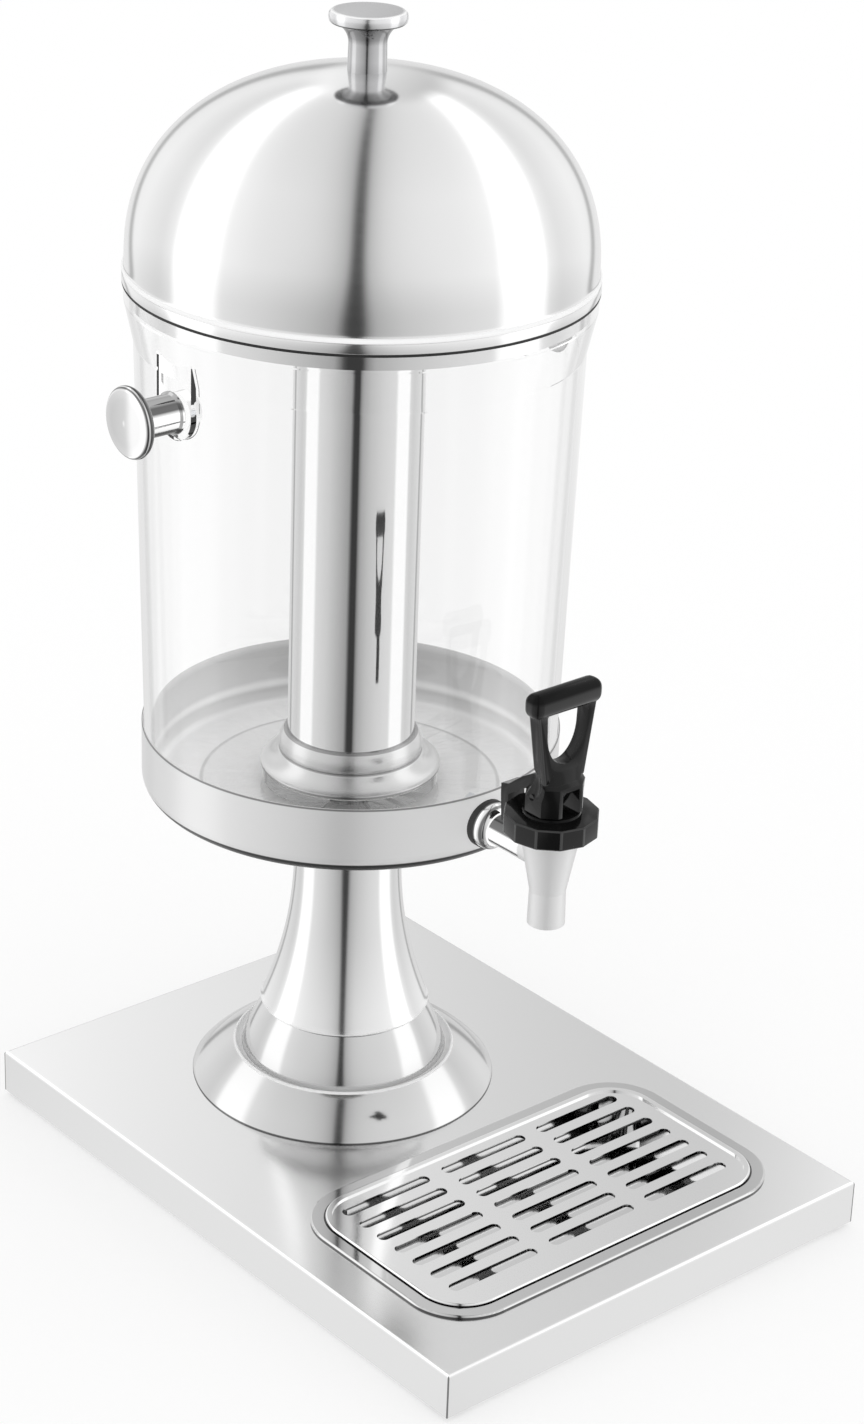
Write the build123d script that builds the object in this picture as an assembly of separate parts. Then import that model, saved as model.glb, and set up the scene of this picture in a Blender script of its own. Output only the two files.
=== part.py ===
from build123d import *
import math
import os

# Juice dispenser in millimetres. The floor is z = 0, the tap faces -Y and the tank stands towards +Y.

# Base pan, folded from sheet
base_width = 260.0
base_depth = 352.0
base_skirt_height = 22.7
base_sheet = 1.2
base_bend_radius = 1.5
base_return_flange = 18.0

# Rubber feet and their screws
foot_projection = 2.5
rubber_foot_radius = 7.0
rubber_foot_inset = 9.5
foot_screw_radius = 1.5
foot_screw_head_radius = 2.8
foot_screw_head_height = 1.2
foot_screw_recess = 1.7
foot_screw_overrun = 1.0
foot_nut_across_flats = 5.5
foot_nut_height = 2.4
thread_clearance = 0.05
hole_clearance = 0.3

# Pedestal
pedestal_behind_tray = 13.8
pedestal_height = 161.5
pedestal_sheet = 1.0
pedestal_foot_radius = 76.6
pedestal_foot_lip_width = 8.0
pedestal_foot_bulge = 3.2
pedestal_step_radius = 55.2
pedestal_step_height = 16.6
pedestal_step_groove = 3.6
pedestal_step_drop = 2.5
pedestal_collar_bulge = 1.6
pedestal_collar_radius = 40.6
pedestal_collar_height = 41.3
pedestal_collar_hole_radius = 34.0
stem_foot_radius = 42.0
stem_foot_lip_width = 4.0
stem_waist_radius = 26.6
stem_flare_height = 86.0
stem_flare_power = 2.25
stem_flare_points = 4

# Support plate and the tie rod that clamps the pedestal
support_plate_radius = 58.0
support_plate_thickness = 3.0
socket_depth = 34.0
socket_wall = 2.5
socket_floor = 3.0
tie_rod_radius = 4.0
tie_rod_overrun = 2.5
tie_nut_across_flats = 13.0
tie_nut_height = 6.5
tie_washer_radius = 8.0
tie_washer_thickness = 1.6
backing_plate_width = 110.0
backing_plate_depth = 70.0
backing_plate_thickness = 3.0

# Drip tray and grate
tray_width = 216.0
tray_depth = 124.0
tray_behind_front = 22.3
tray_corner_radius = 30.0
tray_rim_height = 1.6
tray_rim_band = 6.5
tray_rim_round = 0.9
tray_ledge = 4.0
tray_ledge_height = 0.6
tray_sheet = 1.0
tray_well_depth = 18.0
tray_pan_clearance = 0.6
grate_thickness = 1.5
grate_clearance = 0.8
grate_border = 3.2
grate_border_rise = 0.9
grate_edge_round = 0.8
slot_columns = 3
slot_rows = 7
slot_width = 6.3
slot_column_gap = 9.2
slot_end_margin = 12.75
slot_front_margin = 15.55
slot_back_margin = 9.55

# Clear container
container_height = 256.5
container_bottom_radius = 100.0
container_neck_radius = 105.2
container_neck_taper = 20.0
container_lip_band_height = 9.0
container_lip_radius = 109.6
container_wall = 3.0
container_floor = 4.0
container_bottom_fillet = 10.0
container_inner_fillet = 3.0

# Polished steel cup round the container's foot
cup_height = 34.6
cup_sheet = 0.8
cup_clearance = 0.4
cup_bottom_fillet = 9.0

# Ice tube with its base and the spigot that locates the tank
tube_radius = 31.0
tube_wall = 1.0
tube_top_below_lip = 14.0
tube_seat = 3.0
tube_base_flange_radius = 44.0
tube_base_flange_height = 7.2
tube_base_edge_height = 1.6
tube_base_hollow = 1.6
tube_base_collar_radius = 34.6
tube_base_collar_height = 10.2
tube_base_collar_bulge = 1.8
tube_base_groove = 1.2
tube_base_top_land = 0.9
tube_spacer_radius = 43.0
tube_spacer_height = 6.2
tube_gasket_thickness = 1.0
tube_gasket_width = 10.0
tube_stud_radius = 6.0
tube_stud_engagement = 4.0
spigot_radius = 20.0
spigot_height = 20.0
spigot_clearance = 0.5
spigot_chamfer = 2.0

# Side knobs on moulded pads
side_knob_below_neck = 14.5
side_knob_length = 26.0
side_knob_disc_radius = 16.8
side_knob_disc_thickness = 5.5
side_knob_disc_crown = 0.8
side_knob_flare_radius = 11.8
side_knob_flare_length = 4.0
side_knob_flare_hollow = 0.6
side_knob_rim_bulge = 2.0
side_knob_stem_radius = 9.0
side_knob_ring_radius = 10.0
side_knob_ring_thickness = 2.0
side_washer_thickness = 1.0
side_washer_radius = 9.0
side_stud_radius = 2.5
side_stud_in_knob = 12.0
side_stud_in_boss = 7.0
side_pad_radius = 13.0
side_pad_rise = 2.0
side_pad_into_lip = 12.0
side_boss_radius = 9.0
side_boss_depth = 5.0

# Lid
lid_height = 97.3
lid_sheet = 0.8
lid_bead_step = 1.1
lid_bead_height = 4.6
lid_bead_rise = 2.6
lid_shoulder_height = 10.0
lid_dome_power = 2.25
lid_dome_points = 9
lid_plug_depth = 8.2
lid_plug_clearance = 0.6
lid_knob_height = 27.5
lid_knob_disc_radius = 17.8
lid_knob_disc_thickness = 6.8
lid_knob_disc_crown = 0.8
lid_knob_flare_radius = 15.5
lid_knob_flare_height = 10.0
lid_knob_flare_hollow = 1.8
lid_knob_rim_bulge = 1.1
lid_knob_neck_radius = 9.0
lid_knob_foot_radius = 9.3
lid_knob_foot_height = 1.5
lid_screw_radius = 2.5
lid_screw_engagement = 11.0
lid_screw_head_radius = 4.5
lid_screw_head_height = 2.5
lid_washer_radius = 7.0
lid_washer_thickness = 1.0

# Tap body, measured from the tap's vertical axis and the shank's axis
tap_height_above_cup = 18.5
tap_reach = 43.8
shank_radius = 7.5
shank_thread_radius = 6.5
shank_bore_radius = 4.5
barrel_top = 13.8
barrel_top_radius = 14.3
spout_waist_drop = 16.5
spout_waist_radius = 8.6
spout_length = 33.7
spout_tip_radius = 8.9
spout_bore_radius = 5.5
chamber_radius = 8.5
valve_seat_drop = 6.5
neck_radius = 12.0
neck_height = 6.5
escutcheon_radius = 11.4
escutcheon_front_radius = 8.6
escutcheon_thickness = 6.0
escutcheon_rim = 1.5
outer_washer_radius = 11.8
outer_washer_thickness = 3.0
inner_washer_radius = 11.0
inner_washer_thickness = 2.0
lock_nut_across_flats = 19.0
lock_nut_thickness = 7.0
lock_nut_overrun = 3.0

# Bonnet, valve and handle
bonnet_radius = 22.4
bonnet_height = 10.0
bonnet_sides = 12
bonnet_chamfer = 1.2
running_clearance = 0.06
valve_stem_radius = 3.0
valve_collar_radius = 6.0
valve_collar_thickness = 1.5
valve_head_radius = 4.5
valve_head_width = 9.0
seat_cup_radius = 7.6
seat_cup_height = 6.0
seat_cup_round = 1.5
spring_wire_radius = 0.6
spring_turns = 6
spring_mean_radius = 4.7
pin_radius = 1.6
pin_height_above_bonnet = 10.2
handle_gap = 0.3
handle_half_width = 13.0
handle_front_half_width = 7.0
handle_front_reach = 14.0
handle_cheek_reach = 8.5
handle_back_reach = 12.0
handle_block_height = 22.0
handle_heel_round = 5.0
handle_slot_half_width = 5.6
handle_slot_height = 17.5
handle_slot_back = 7.0
stirrup_offset = 4.0
stirrup_thickness = 6.8
stirrup_top_half_width = 17.5
stirrup_shoulder_half_width = 14.4
stirrup_overlap = 6.0
stirrup_edge_round = 1.6
grip_height_above_bonnet = 58.6
grip_radius = 5.6
grip_half_length = 20.8
grip_end_round = 3.4
window_half_width = 12.3
window_bow_depth = 18.5
window_bow_height = 44.0
tail_half_width = 5.0
tail_reach = 35.0
tail_drop = 14.0
tail_thickness = 5.0
tail_root_height = 13.5
tail_bend_drop = 12.0

# Heights worked out from the sizes above
skirt_bottom_z = foot_projection
base_top_z = skirt_bottom_z + base_skirt_height
base_underside_z = base_top_z - base_sheet
plate_top_z = base_top_z + pedestal_height
stem_bottom_z = base_top_z + pedestal_collar_height
stem_top_z = plate_top_z - support_plate_thickness
cup_bottom_z = plate_top_z
container_neck_height = container_height - container_lip_band_height - container_neck_taper
container_bottom_z = cup_bottom_z + cup_sheet
container_neck_z = container_bottom_z + container_neck_height
container_floor_z = container_bottom_z + container_floor
spacer_top_z = container_floor_z + tube_spacer_height
lip_top_z = container_bottom_z + container_height
tube_base_z = spacer_top_z + tube_gasket_thickness
tap_z = cup_bottom_z + tap_height_above_cup
bonnet_bottom_z = tap_z + barrel_top
bonnet_top_z = bonnet_bottom_z + bonnet_height
pin_z = bonnet_top_z + pin_height_above_bonnet
lid_apex_z = lip_top_z + lid_height

# Radii and places worked out from the sizes above
tray_y = tray_behind_front + (tray_depth - base_depth) / 2
pedestal_y = tray_y + tray_depth / 2 + pedestal_behind_tray + pedestal_foot_radius
container_taper = (container_neck_radius - container_bottom_radius) / container_neck_height
container_rim_radius = container_bottom_radius + container_taper * (cup_height - cup_sheet)
cup_inner_radius = container_rim_radius + cup_clearance
cup_radius = cup_inner_radius + cup_sheet
cup_front_y = pedestal_y - cup_radius
tap_y = cup_front_y - tap_reach
container_lip_inner_radius = container_lip_radius - container_wall
lid_rim_radius = container_lip_radius + lid_sheet
lid_radius = lid_rim_radius - lid_bead_step
socket_radius = spigot_radius + spigot_clearance
tie_rod_hole_radius = tie_rod_radius + hole_clearance
tube_stud_hole_radius = tube_stud_radius + hole_clearance
shank_hole_radius = shank_thread_radius + hole_clearance
side_knob_z = container_neck_z - side_knob_below_neck
side_wall_radius = container_bottom_radius + container_taper * (side_knob_z - container_bottom_z)
side_pad_x = side_wall_radius + side_pad_rise
side_ring_x = side_pad_x + side_washer_thickness
side_ends = (-1, 1)
foot_x = base_width / 2 - rubber_foot_inset
foot_y = base_depth / 2 - rubber_foot_inset
foot_places = [(sx * foot_x, sy * foot_y) for sx in side_ends for sy in side_ends]

ON_FLOOR = (Align.CENTER, Align.CENTER, Align.MIN)


def disc(radius, height, z=0.0, place=(0.0, 0.0)):
    """An upright cylinder that starts at height z."""
    return Pos(place[0], place[1], z) * Cylinder(radius, height, align=ON_FLOOR)


def rod(radius, start, direction, length):
    """A cylinder that runs from a start point along a direction."""
    return Plane(origin=start, z_dir=direction) * Cylinder(radius, length, align=ON_FLOOR)


def hexagon(across_flats, height, z, place=(0.0, 0.0)):
    """An upright hexagonal prism."""
    outline = RegularPolygon(across_flats / 2, 6, major_radius=False)
    return Pos(place[0], place[1], z) * extrude(outline, height)


def turned(outline, place=(0.0, 0.0), z=0.0):
    """A solid of revolution about an upright axis from a closed outline of radius and height."""
    return Pos(place[0], place[1], z) * revolve(Plane.XZ * make_face(outline), axis=Axis.Z)


def turned_along(outline, start, direction):
    """A solid of revolution whose axis leaves a start point along a direction."""
    upright = revolve(Plane.XZ * make_face(outline), axis=Axis.Z)
    return Plane(origin=start, z_dir=direction) * upright


def bulged(start, end, bulge):
    """An arc between two outline points that swells to the right of the way it runs."""
    run = Vector(*end) - Vector(*start)
    sideways = Vector(run.Y, -run.X).normalized()
    middle = (Vector(*start) + Vector(*end)) * 0.5 + sideways * bulge
    return ThreePointArc(start, middle, end)


def crowned(radius, start, top):
    """A shallow arc from an outline's edge up to its axis, level where it meets the axis."""
    crown = top - start
    sphere = (radius ** 2 + crown ** 2) / (2 * crown)
    half_rise = top - sphere + math.sqrt(sphere ** 2 - radius ** 2 / 4)
    return ThreePointArc((radius, start), (radius / 2, half_rise), (0, top))


def rounded_plate(width, depth, corner, height, z):
    """A plate with rounded corners, centred on the drip tray."""
    return Pos(0, tray_y, z) * extrude(RectangleRounded(width, depth, corner), height)


def write(node, shape):
    """Write one node's file."""
    export_step(shape, "parts/" + node + ".step")


def make_base_pan():
    """Folded pan with a return flange, the tray's opening and the holes for rod and feet."""
    pan = Pos(0, 0, skirt_bottom_z) * Box(base_width, base_depth, base_skirt_height, align=ON_FLOOR)
    pan = fillet(pan.faces().sort_by(Axis.Z)[-1].edges(), base_bend_radius)
    inside_height = base_skirt_height - 2 * base_sheet
    inside = Box(base_width - 2 * base_sheet, base_depth - 2 * base_sheet, inside_height, align=ON_FLOOR)
    pan -= Pos(0, 0, skirt_bottom_z + base_sheet) * inside
    mouth_width = base_width - 2 * base_return_flange
    mouth_depth = base_depth - 2 * base_return_flange
    pan -= Pos(0, 0, skirt_bottom_z) * Box(mouth_width, mouth_depth, base_sheet, align=ON_FLOOR)
    opening_growth = 2 * (tray_sheet + tray_pan_clearance)
    opening_corner = tray_well_corner + tray_sheet + tray_pan_clearance
    pan -= rounded_plate(tray_well_width + opening_growth, tray_well_depth_y + opening_growth,
                         opening_corner, base_sheet, base_underside_z)
    pan -= disc(tie_rod_hole_radius, base_sheet, base_underside_z, (0, pedestal_y))
    for place in foot_places:
        pan -= disc(foot_screw_radius + hole_clearance, base_sheet, skirt_bottom_z, place)
    return pan


def make_rubber_feet():
    """Four rubber discs with a recess for the screw's head."""
    feet = []
    for place in foot_places:
        foot = disc(rubber_foot_radius, foot_projection, 0, place)
        foot -= disc(foot_screw_radius + thread_clearance, foot_projection, 0, place)
        foot -= disc(foot_screw_head_radius + hole_clearance, foot_screw_recess, 0, place)
        feet.append(foot)
    return Compound(feet)


def make_foot_screws():
    """Four pan-head screws that hold the rubber feet."""
    shaft_length = foot_projection - foot_screw_recess + base_sheet + foot_nut_height + foot_screw_overrun
    screws = []
    for place in foot_places:
        head = disc(foot_screw_head_radius, foot_screw_head_height,
                    foot_screw_recess - foot_screw_head_height, place)
        screws.append(head + disc(foot_screw_radius, shaft_length, foot_screw_recess, place))
    return Compound(screws)


def make_foot_nuts():
    """Four nuts on the return flange."""
    nut_z = skirt_bottom_z + base_sheet
    nuts = []
    for place in foot_places:
        nut = hexagon(foot_nut_across_flats, foot_nut_height, nut_z, place)
        nuts.append(nut - disc(foot_screw_radius + thread_clearance, foot_nut_height, nut_z, place))
    return Compound(nuts)


def make_pedestal_foot():
    """Spun foot with a low dome, a groove and a taller collar that carries the stem."""
    sheet = pedestal_sheet
    rim = (pedestal_foot_radius, 0)
    step = (pedestal_step_radius, pedestal_step_height)
    groove = (pedestal_step_radius - pedestal_step_groove, pedestal_step_height - pedestal_step_drop)
    shoulder = (pedestal_collar_radius, pedestal_collar_height)
    hole = pedestal_collar_hole_radius
    inner_shoulder = (pedestal_collar_radius - sheet, pedestal_collar_height - sheet)
    inner_groove = (groove[0] - sheet, groove[1] - sheet)
    inner_step = (step[0] - sheet, groove[1] - sheet)
    inner_rim = (pedestal_foot_radius - 2 * sheet, sheet)
    bearing = pedestal_foot_radius - pedestal_foot_lip_width
    outline = bulged(rim, step, pedestal_foot_bulge) + Line(step, groove)
    outline += bulged(groove, shoulder, pedestal_collar_bulge)
    outline += Polyline(shoulder, (hole, shoulder[1]), (hole, inner_shoulder[1]), inner_shoulder)
    outline += bulged(inner_shoulder, inner_groove, -pedestal_collar_bulge)
    outline += Line(inner_groove, inner_step)
    outline += bulged(inner_step, inner_rim, -pedestal_foot_bulge)
    outline += Polyline(inner_rim, (bearing, sheet), (bearing, 0), rim)
    return turned(outline, (0, pedestal_y), base_top_z)


def stem_flare(inset, start_height):
    """The stem's trumpet curve, inset by a sheet's thickness, from a start height to the waist."""
    points = []
    for step in range(stem_flare_points):
        left = (stem_flare_height - start_height) * (1 - step / (stem_flare_points - 1))
        spread = (left / stem_flare_height) ** stem_flare_power
        radius = stem_waist_radius + (stem_foot_radius - stem_waist_radius) * spread
        points.append((radius - inset, stem_flare_height - left))
    return points


def make_pedestal_stem():
    """Trumpet-shaped spun stem with a rolled-in bearing edge at its foot."""
    sheet = pedestal_sheet
    top = stem_top_z - stem_bottom_z
    outer = stem_flare(0, 0)
    inner = stem_flare(sheet, sheet)
    inner.reverse()
    bearing = stem_foot_radius - stem_foot_lip_width
    outline = Spline(*outer) + Polyline(outer[-1], (stem_waist_radius, top),
                                        (stem_waist_radius - sheet, top), inner[0])
    outline += Spline(*inner)
    outline += Polyline(inner[-1], (bearing, sheet), (bearing, 0), outer[0])
    return turned(outline, (0, pedestal_y), stem_bottom_z)


def make_support_plate():
    """Round plate on the stem's top with the socket that takes the tank's spigot."""
    outside = socket_radius + socket_wall
    floor = -socket_depth
    underside = floor - socket_floor
    outline = Polyline((support_plate_radius, 0), (support_plate_radius, -support_plate_thickness),
                       (outside, -support_plate_thickness), (outside, underside),
                       (tie_rod_hole_radius, underside), (tie_rod_hole_radius, floor),
                       (socket_radius, floor), (socket_radius, 0), close=True)
    return turned(outline, (0, pedestal_y), plate_top_z)


def make_backing_plate():
    """Stiffening plate under the pan where the tie rod pulls."""
    plate_z = base_underside_z - backing_plate_thickness
    plate = Box(backing_plate_width, backing_plate_depth, backing_plate_thickness, align=ON_FLOOR)
    plate = Pos(0, pedestal_y, plate_z) * plate
    return plate - disc(tie_rod_hole_radius, backing_plate_thickness, plate_z, (0, pedestal_y))


def make_tie_rod():
    """Threaded rod from under the pan to the floor of the socket."""
    reach = tie_washer_thickness + tie_nut_height + tie_rod_overrun
    bottom = base_underside_z - backing_plate_thickness - reach
    top = plate_top_z - socket_depth + reach
    return disc(tie_rod_radius, top - bottom, bottom, (0, pedestal_y))


def tie_washer_heights():
    """Where the lower and the upper washer start."""
    lower = base_underside_z - backing_plate_thickness - tie_washer_thickness
    return lower, plate_top_z - socket_depth


def make_tie_washers():
    """Washers under both tie rod nuts."""
    place = (0, pedestal_y)
    washers = []
    for start in tie_washer_heights():
        washer = disc(tie_washer_radius, tie_washer_thickness, start, place)
        washers.append(washer - disc(tie_rod_hole_radius, tie_washer_thickness, start, place))
    return Compound(washers)


def make_tie_nuts():
    """Nuts at both ends of the tie rod."""
    place = (0, pedestal_y)
    lower, upper = tie_washer_heights()
    nuts = []
    for start in (lower - tie_nut_height, upper + tie_washer_thickness):
        nut = hexagon(tie_nut_across_flats, tie_nut_height, start, place)
        nuts.append(nut - disc(tie_rod_radius + thread_clearance, tie_nut_height, start, place))
    return Compound(nuts)


tray_recess_width = tray_width - 2 * tray_rim_band
tray_recess_depth = tray_depth - 2 * tray_rim_band
tray_recess_corner = tray_corner_radius - tray_rim_band
tray_well_width = tray_recess_width - 2 * tray_ledge
tray_well_depth_y = tray_recess_depth - 2 * tray_ledge
tray_well_corner = tray_recess_corner - tray_ledge
grate_width = tray_recess_width - 2 * grate_clearance
grate_depth = tray_recess_depth - 2 * grate_clearance
slot_row_room = grate_depth - slot_front_margin - slot_back_margin - slot_width
slot_row_pitch = slot_row_room / (slot_rows - 1)
slot_column_room = grate_width - 2 * slot_end_margin - (slot_columns - 1) * slot_column_gap
slot_length = slot_column_room / slot_columns
slot_start_x = slot_end_margin + (slot_length - grate_width) / 2
slot_start_y = tray_y + slot_front_margin + (slot_width - grate_depth) / 2


def make_drip_tray():
    """Pressed tray: a rounded rim on the pan, a ledge for the grate and a well below."""
    rim = rounded_plate(tray_width, tray_depth, tray_corner_radius, tray_rim_height, base_top_z)
    rim = fillet(rim.faces().sort_by(Axis.Z)[-1].edges(), tray_rim_round)
    rim -= rounded_plate(tray_recess_width, tray_recess_depth, tray_recess_corner,
                         tray_rim_height, base_top_z + tray_ledge_height)
    well = rounded_plate(tray_well_width + 2 * tray_sheet, tray_well_depth_y + 2 * tray_sheet,
                         tray_well_corner + tray_sheet, tray_well_depth, base_top_z - tray_well_depth)
    inside = rounded_plate(tray_well_width, tray_well_depth_y, tray_well_corner,
                           tray_well_depth + tray_rim_height, base_top_z - tray_well_depth + tray_sheet)
    return rim + well - inside


def make_drip_grate():
    """Slotted plate with a raised border that lies on the tray's ledge."""
    grate_z = base_top_z + tray_ledge_height
    corner = tray_recess_corner - grate_clearance
    grate = rounded_plate(grate_width, grate_depth, corner, grate_thickness + grate_border_rise, grate_z)
    grate = fillet(grate.faces().sort_by(Axis.Z)[-1].edges(), grate_edge_round)
    grate -= rounded_plate(grate_width - 2 * grate_border, grate_depth - 2 * grate_border,
                           corner - grate_border, grate_border_rise, grate_z + grate_thickness)
    slots = SlotOverall(slot_length, slot_width)
    for column in range(slot_columns):
        for row in range(slot_rows):
            slot_x = slot_start_x + column * (slot_length + slot_column_gap)
            slot_y = slot_start_y + row * slot_row_pitch
            grate -= Pos(slot_x, slot_y, grate_z) * extrude(slots, grate_thickness)
    return grate


def container_outline(inset, floor, corner, core):
    """Half section of the container's outside or, with an inset, of the space inside it."""
    bottom = container_bottom_radius - inset + container_taper * floor
    neck = (container_neck_radius - inset, container_neck_height)
    lip = (container_lip_radius - inset, container_neck_height + container_neck_taper)
    top = (lip[0], container_height)
    points = [(core, floor), (bottom, floor), neck, lip, top, (core, container_height)]
    face = make_face(Polyline(*points, close=True))
    corners = face.vertices().sort_by(Axis.Y)[0:2].sort_by(Axis.X)[-1]
    return fillet(corners, corner)


def container_solid(inset, floor, corner):
    """The container's outside or inside as a full solid, in place."""
    half = container_outline(inset, floor, corner, 0)
    return Pos(0, pedestal_y, container_bottom_z) * revolve(Plane.XZ * half, axis=Axis.Z)


def container_space():
    """The space inside the container's wall, above its floor."""
    return container_solid(container_wall, container_floor, container_inner_fillet)


def make_container(space):
    """Clear container with a flared lip, a flat floor and two knob pads."""
    shell = container_solid(0, 0, container_bottom_fillet)
    for side in side_ends:
        pad = rod(side_pad_radius, (0, pedestal_y, side_knob_z), (side, 0, 0), side_pad_x)
        upper = Box(side_pad_x, 2 * side_pad_radius, side_knob_below_neck + side_pad_into_lip,
                    align=(Align.MIN, Align.CENTER, Align.MIN))
        if side < 0:
            upper = Pos(-side_pad_x, 0, 0) * upper
        shell += pad + Pos(0, pedestal_y, side_knob_z) * upper
    shell -= space
    for side in side_ends:
        boss_x = side_wall_radius - container_wall - side_boss_depth
        shell += rod(side_boss_radius, (side * boss_x, pedestal_y, side_knob_z), (side, 0, 0),
                     side_boss_depth + container_wall)
    for side in side_ends:
        shell -= rod(side_stud_radius + thread_clearance, (side * side_pad_x, pedestal_y, side_knob_z),
                     (-side, 0, 0), side_stud_in_boss)
    shell -= disc(tube_stud_hole_radius, container_floor, container_bottom_z, (0, pedestal_y))
    shell -= rod(shank_hole_radius, (0, pedestal_y, tap_z), (0, -1, 0), container_lip_radius)
    return shell


def make_steel_cup():
    """Shallow polished cup round the container's foot."""
    outside = disc(cup_radius, cup_height, cup_bottom_z, (0, pedestal_y))
    outside = fillet(outside.edges().sort_by(Axis.Z)[0], cup_bottom_fillet)
    inside = disc(cup_inner_radius, cup_height, cup_bottom_z + cup_sheet, (0, pedestal_y))
    inside = fillet(inside.edges().sort_by(Axis.Z)[0], cup_bottom_fillet - cup_sheet)
    cup = outside - inside
    cup -= disc(tube_stud_hole_radius, cup_sheet, cup_bottom_z, (0, pedestal_y))
    return cup - rod(shank_hole_radius, (0, pedestal_y, tap_z), (0, -1, 0), cup_radius)


def make_ice_tube():
    """Straight tube, open at the top and closed at the bottom, that holds the ice."""
    bottom = tube_base_z + tube_seat
    top = lip_top_z - tube_top_below_lip
    tube = disc(tube_radius, top - bottom, bottom, (0, pedestal_y))
    return tube - disc(tube_radius - tube_wall, top - bottom, bottom + tube_wall, (0, pedestal_y))


def make_tube_base():
    """Turned base with a hollow flare, a groove and a rounded collar that the tube stands in."""
    bore = tube_radius + thread_clearance
    edge = (tube_base_flange_radius, tube_base_edge_height)
    flare_top = (tube_base_collar_radius + tube_base_groove, tube_base_flange_height)
    collar_start = (tube_base_collar_radius, tube_base_flange_height + tube_base_groove)
    collar_end = (bore + tube_base_top_land, collar_start[1] + tube_base_collar_height)
    outline = Polyline((0, 0), (tube_base_flange_radius, 0), edge)
    outline += bulged(edge, flare_top, -tube_base_hollow)
    outline += Line(flare_top, collar_start)
    outline += bulged(collar_start, collar_end, tube_base_collar_bulge)
    outline += Polyline(collar_end, (bore, collar_end[1]), (bore, tube_seat), (0, tube_seat), (0, 0))
    base = turned(outline, (0, pedestal_y), tube_base_z)
    return base - disc(tube_stud_radius + thread_clearance, tube_seat, tube_base_z, (0, pedestal_y))


def make_tube_spacer():
    """Clear spacer that lifts the tube's base off the container's floor."""
    spacer = disc(tube_spacer_radius, tube_spacer_height, container_floor_z, (0, pedestal_y))
    return spacer - disc(tube_stud_hole_radius, tube_spacer_height, container_floor_z, (0, pedestal_y))


def make_tube_gasket():
    """Flat ring between the tube's base and its spacer."""
    place = (0, pedestal_y)
    hole = tube_spacer_radius - tube_gasket_width
    ring = disc(tube_spacer_radius, tube_gasket_thickness, spacer_top_z, place)
    return ring - disc(hole, tube_gasket_thickness, spacer_top_z, place)


def make_tube_stud():
    """Stud that pulls the tube's base, the container and the cup together."""
    top = tube_base_z + tube_seat
    bottom = cup_bottom_z - spigot_height + tube_stud_engagement
    return disc(tube_stud_radius, top - bottom, bottom, (0, pedestal_y))


def make_spigot():
    """Round nut under the cup that drops into the pedestal's socket."""
    start = cup_bottom_z - spigot_height
    spigot = disc(spigot_radius, spigot_height, start, (0, pedestal_y))
    spigot = chamfer(spigot.edges().sort_by(Axis.Z)[0], spigot_chamfer)
    blind = start + tube_stud_engagement
    return spigot - disc(tube_stud_radius + thread_clearance, spigot_height, blind, (0, pedestal_y))


def knob_outline(length, disc_radius, disc_thickness, crown, flare_radius, flare_length, stem_radius,
                 foot_radius, foot_thickness, flare_hollow, rim_bulge):
    """Half section of a turned knob: a foot, a stem, a hollow flare and a crowned disc."""
    disc_start = length - disc_thickness
    edge = disc_thickness - crown
    flat = disc_radius - rim_bulge
    outline = Polyline((0, 0), (foot_radius, 0), (foot_radius, foot_thickness / 2),
                       (stem_radius, foot_thickness), (stem_radius, disc_start - flare_length))
    outline += bulged((stem_radius, disc_start - flare_length), (flare_radius, disc_start), -flare_hollow)
    outline += Polyline((flare_radius, disc_start), (flat, disc_start))
    outline += bulged((flat, disc_start), (flat, disc_start + edge), rim_bulge)
    outline += crowned(flat, disc_start + edge, length)
    return outline + Line((0, length), (0, 0))


def make_side_knob(side):
    """Turned knob on the pad at one side of the container."""
    outline = knob_outline(side_knob_length, side_knob_disc_radius, side_knob_disc_thickness,
                           side_knob_disc_crown, side_knob_flare_radius, side_knob_flare_length,
                           side_knob_stem_radius, side_knob_ring_radius, side_knob_ring_thickness,
                           side_knob_flare_hollow, side_knob_rim_bulge)
    start = (side * side_ring_x, pedestal_y, side_knob_z)
    knob = turned_along(outline, start, (side, 0, 0))
    return knob - rod(side_stud_radius + thread_clearance, start, (side, 0, 0), side_stud_in_knob)


def make_side_studs():
    """Studs that join the side knobs to the container's bosses."""
    length = side_stud_in_knob + side_washer_thickness + side_stud_in_boss
    studs = []
    for side in side_ends:
        start = (side * (side_pad_x - side_stud_in_boss), pedestal_y, side_knob_z)
        studs.append(rod(side_stud_radius, start, (side, 0, 0), length))
    return Compound(studs)


def make_side_washers():
    """Soft washers between the side knobs and their pads."""
    washers = []
    for side in side_ends:
        start = (side * side_pad_x, pedestal_y, side_knob_z)
        washer = rod(side_washer_radius, start, (side, 0, 0), side_washer_thickness)
        washers.append(washer - rod(side_stud_radius + hole_clearance, start, (side, 0, 0),
                                    side_washer_thickness))
    return Compound(washers)


def dome_height(radius, inset):
    """Height of the lid's dome above its rim at a radius, on the outside or inset by the sheet."""
    spread = lid_radius - inset
    rise = lid_height - lid_shoulder_height - inset
    share = 1 - (radius / spread) ** lid_dome_power
    return lid_shoulder_height + rise * share ** (1 / lid_dome_power)


def dome_curve(inset):
    """Points of the lid's dome from its shoulder to its top."""
    spread = lid_radius - inset
    rise = lid_height - lid_shoulder_height - inset
    points = []
    for step in range(lid_dome_points):
        angle = math.pi / 2 * step / (lid_dome_points - 1)
        radius = spread * math.cos(angle) ** (2 / lid_dome_power)
        height = lid_shoulder_height + rise * math.sin(angle) ** (2 / lid_dome_power)
        points.append((radius, height))
    points[-1] = (0, lid_shoulder_height + rise)
    return points


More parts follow.
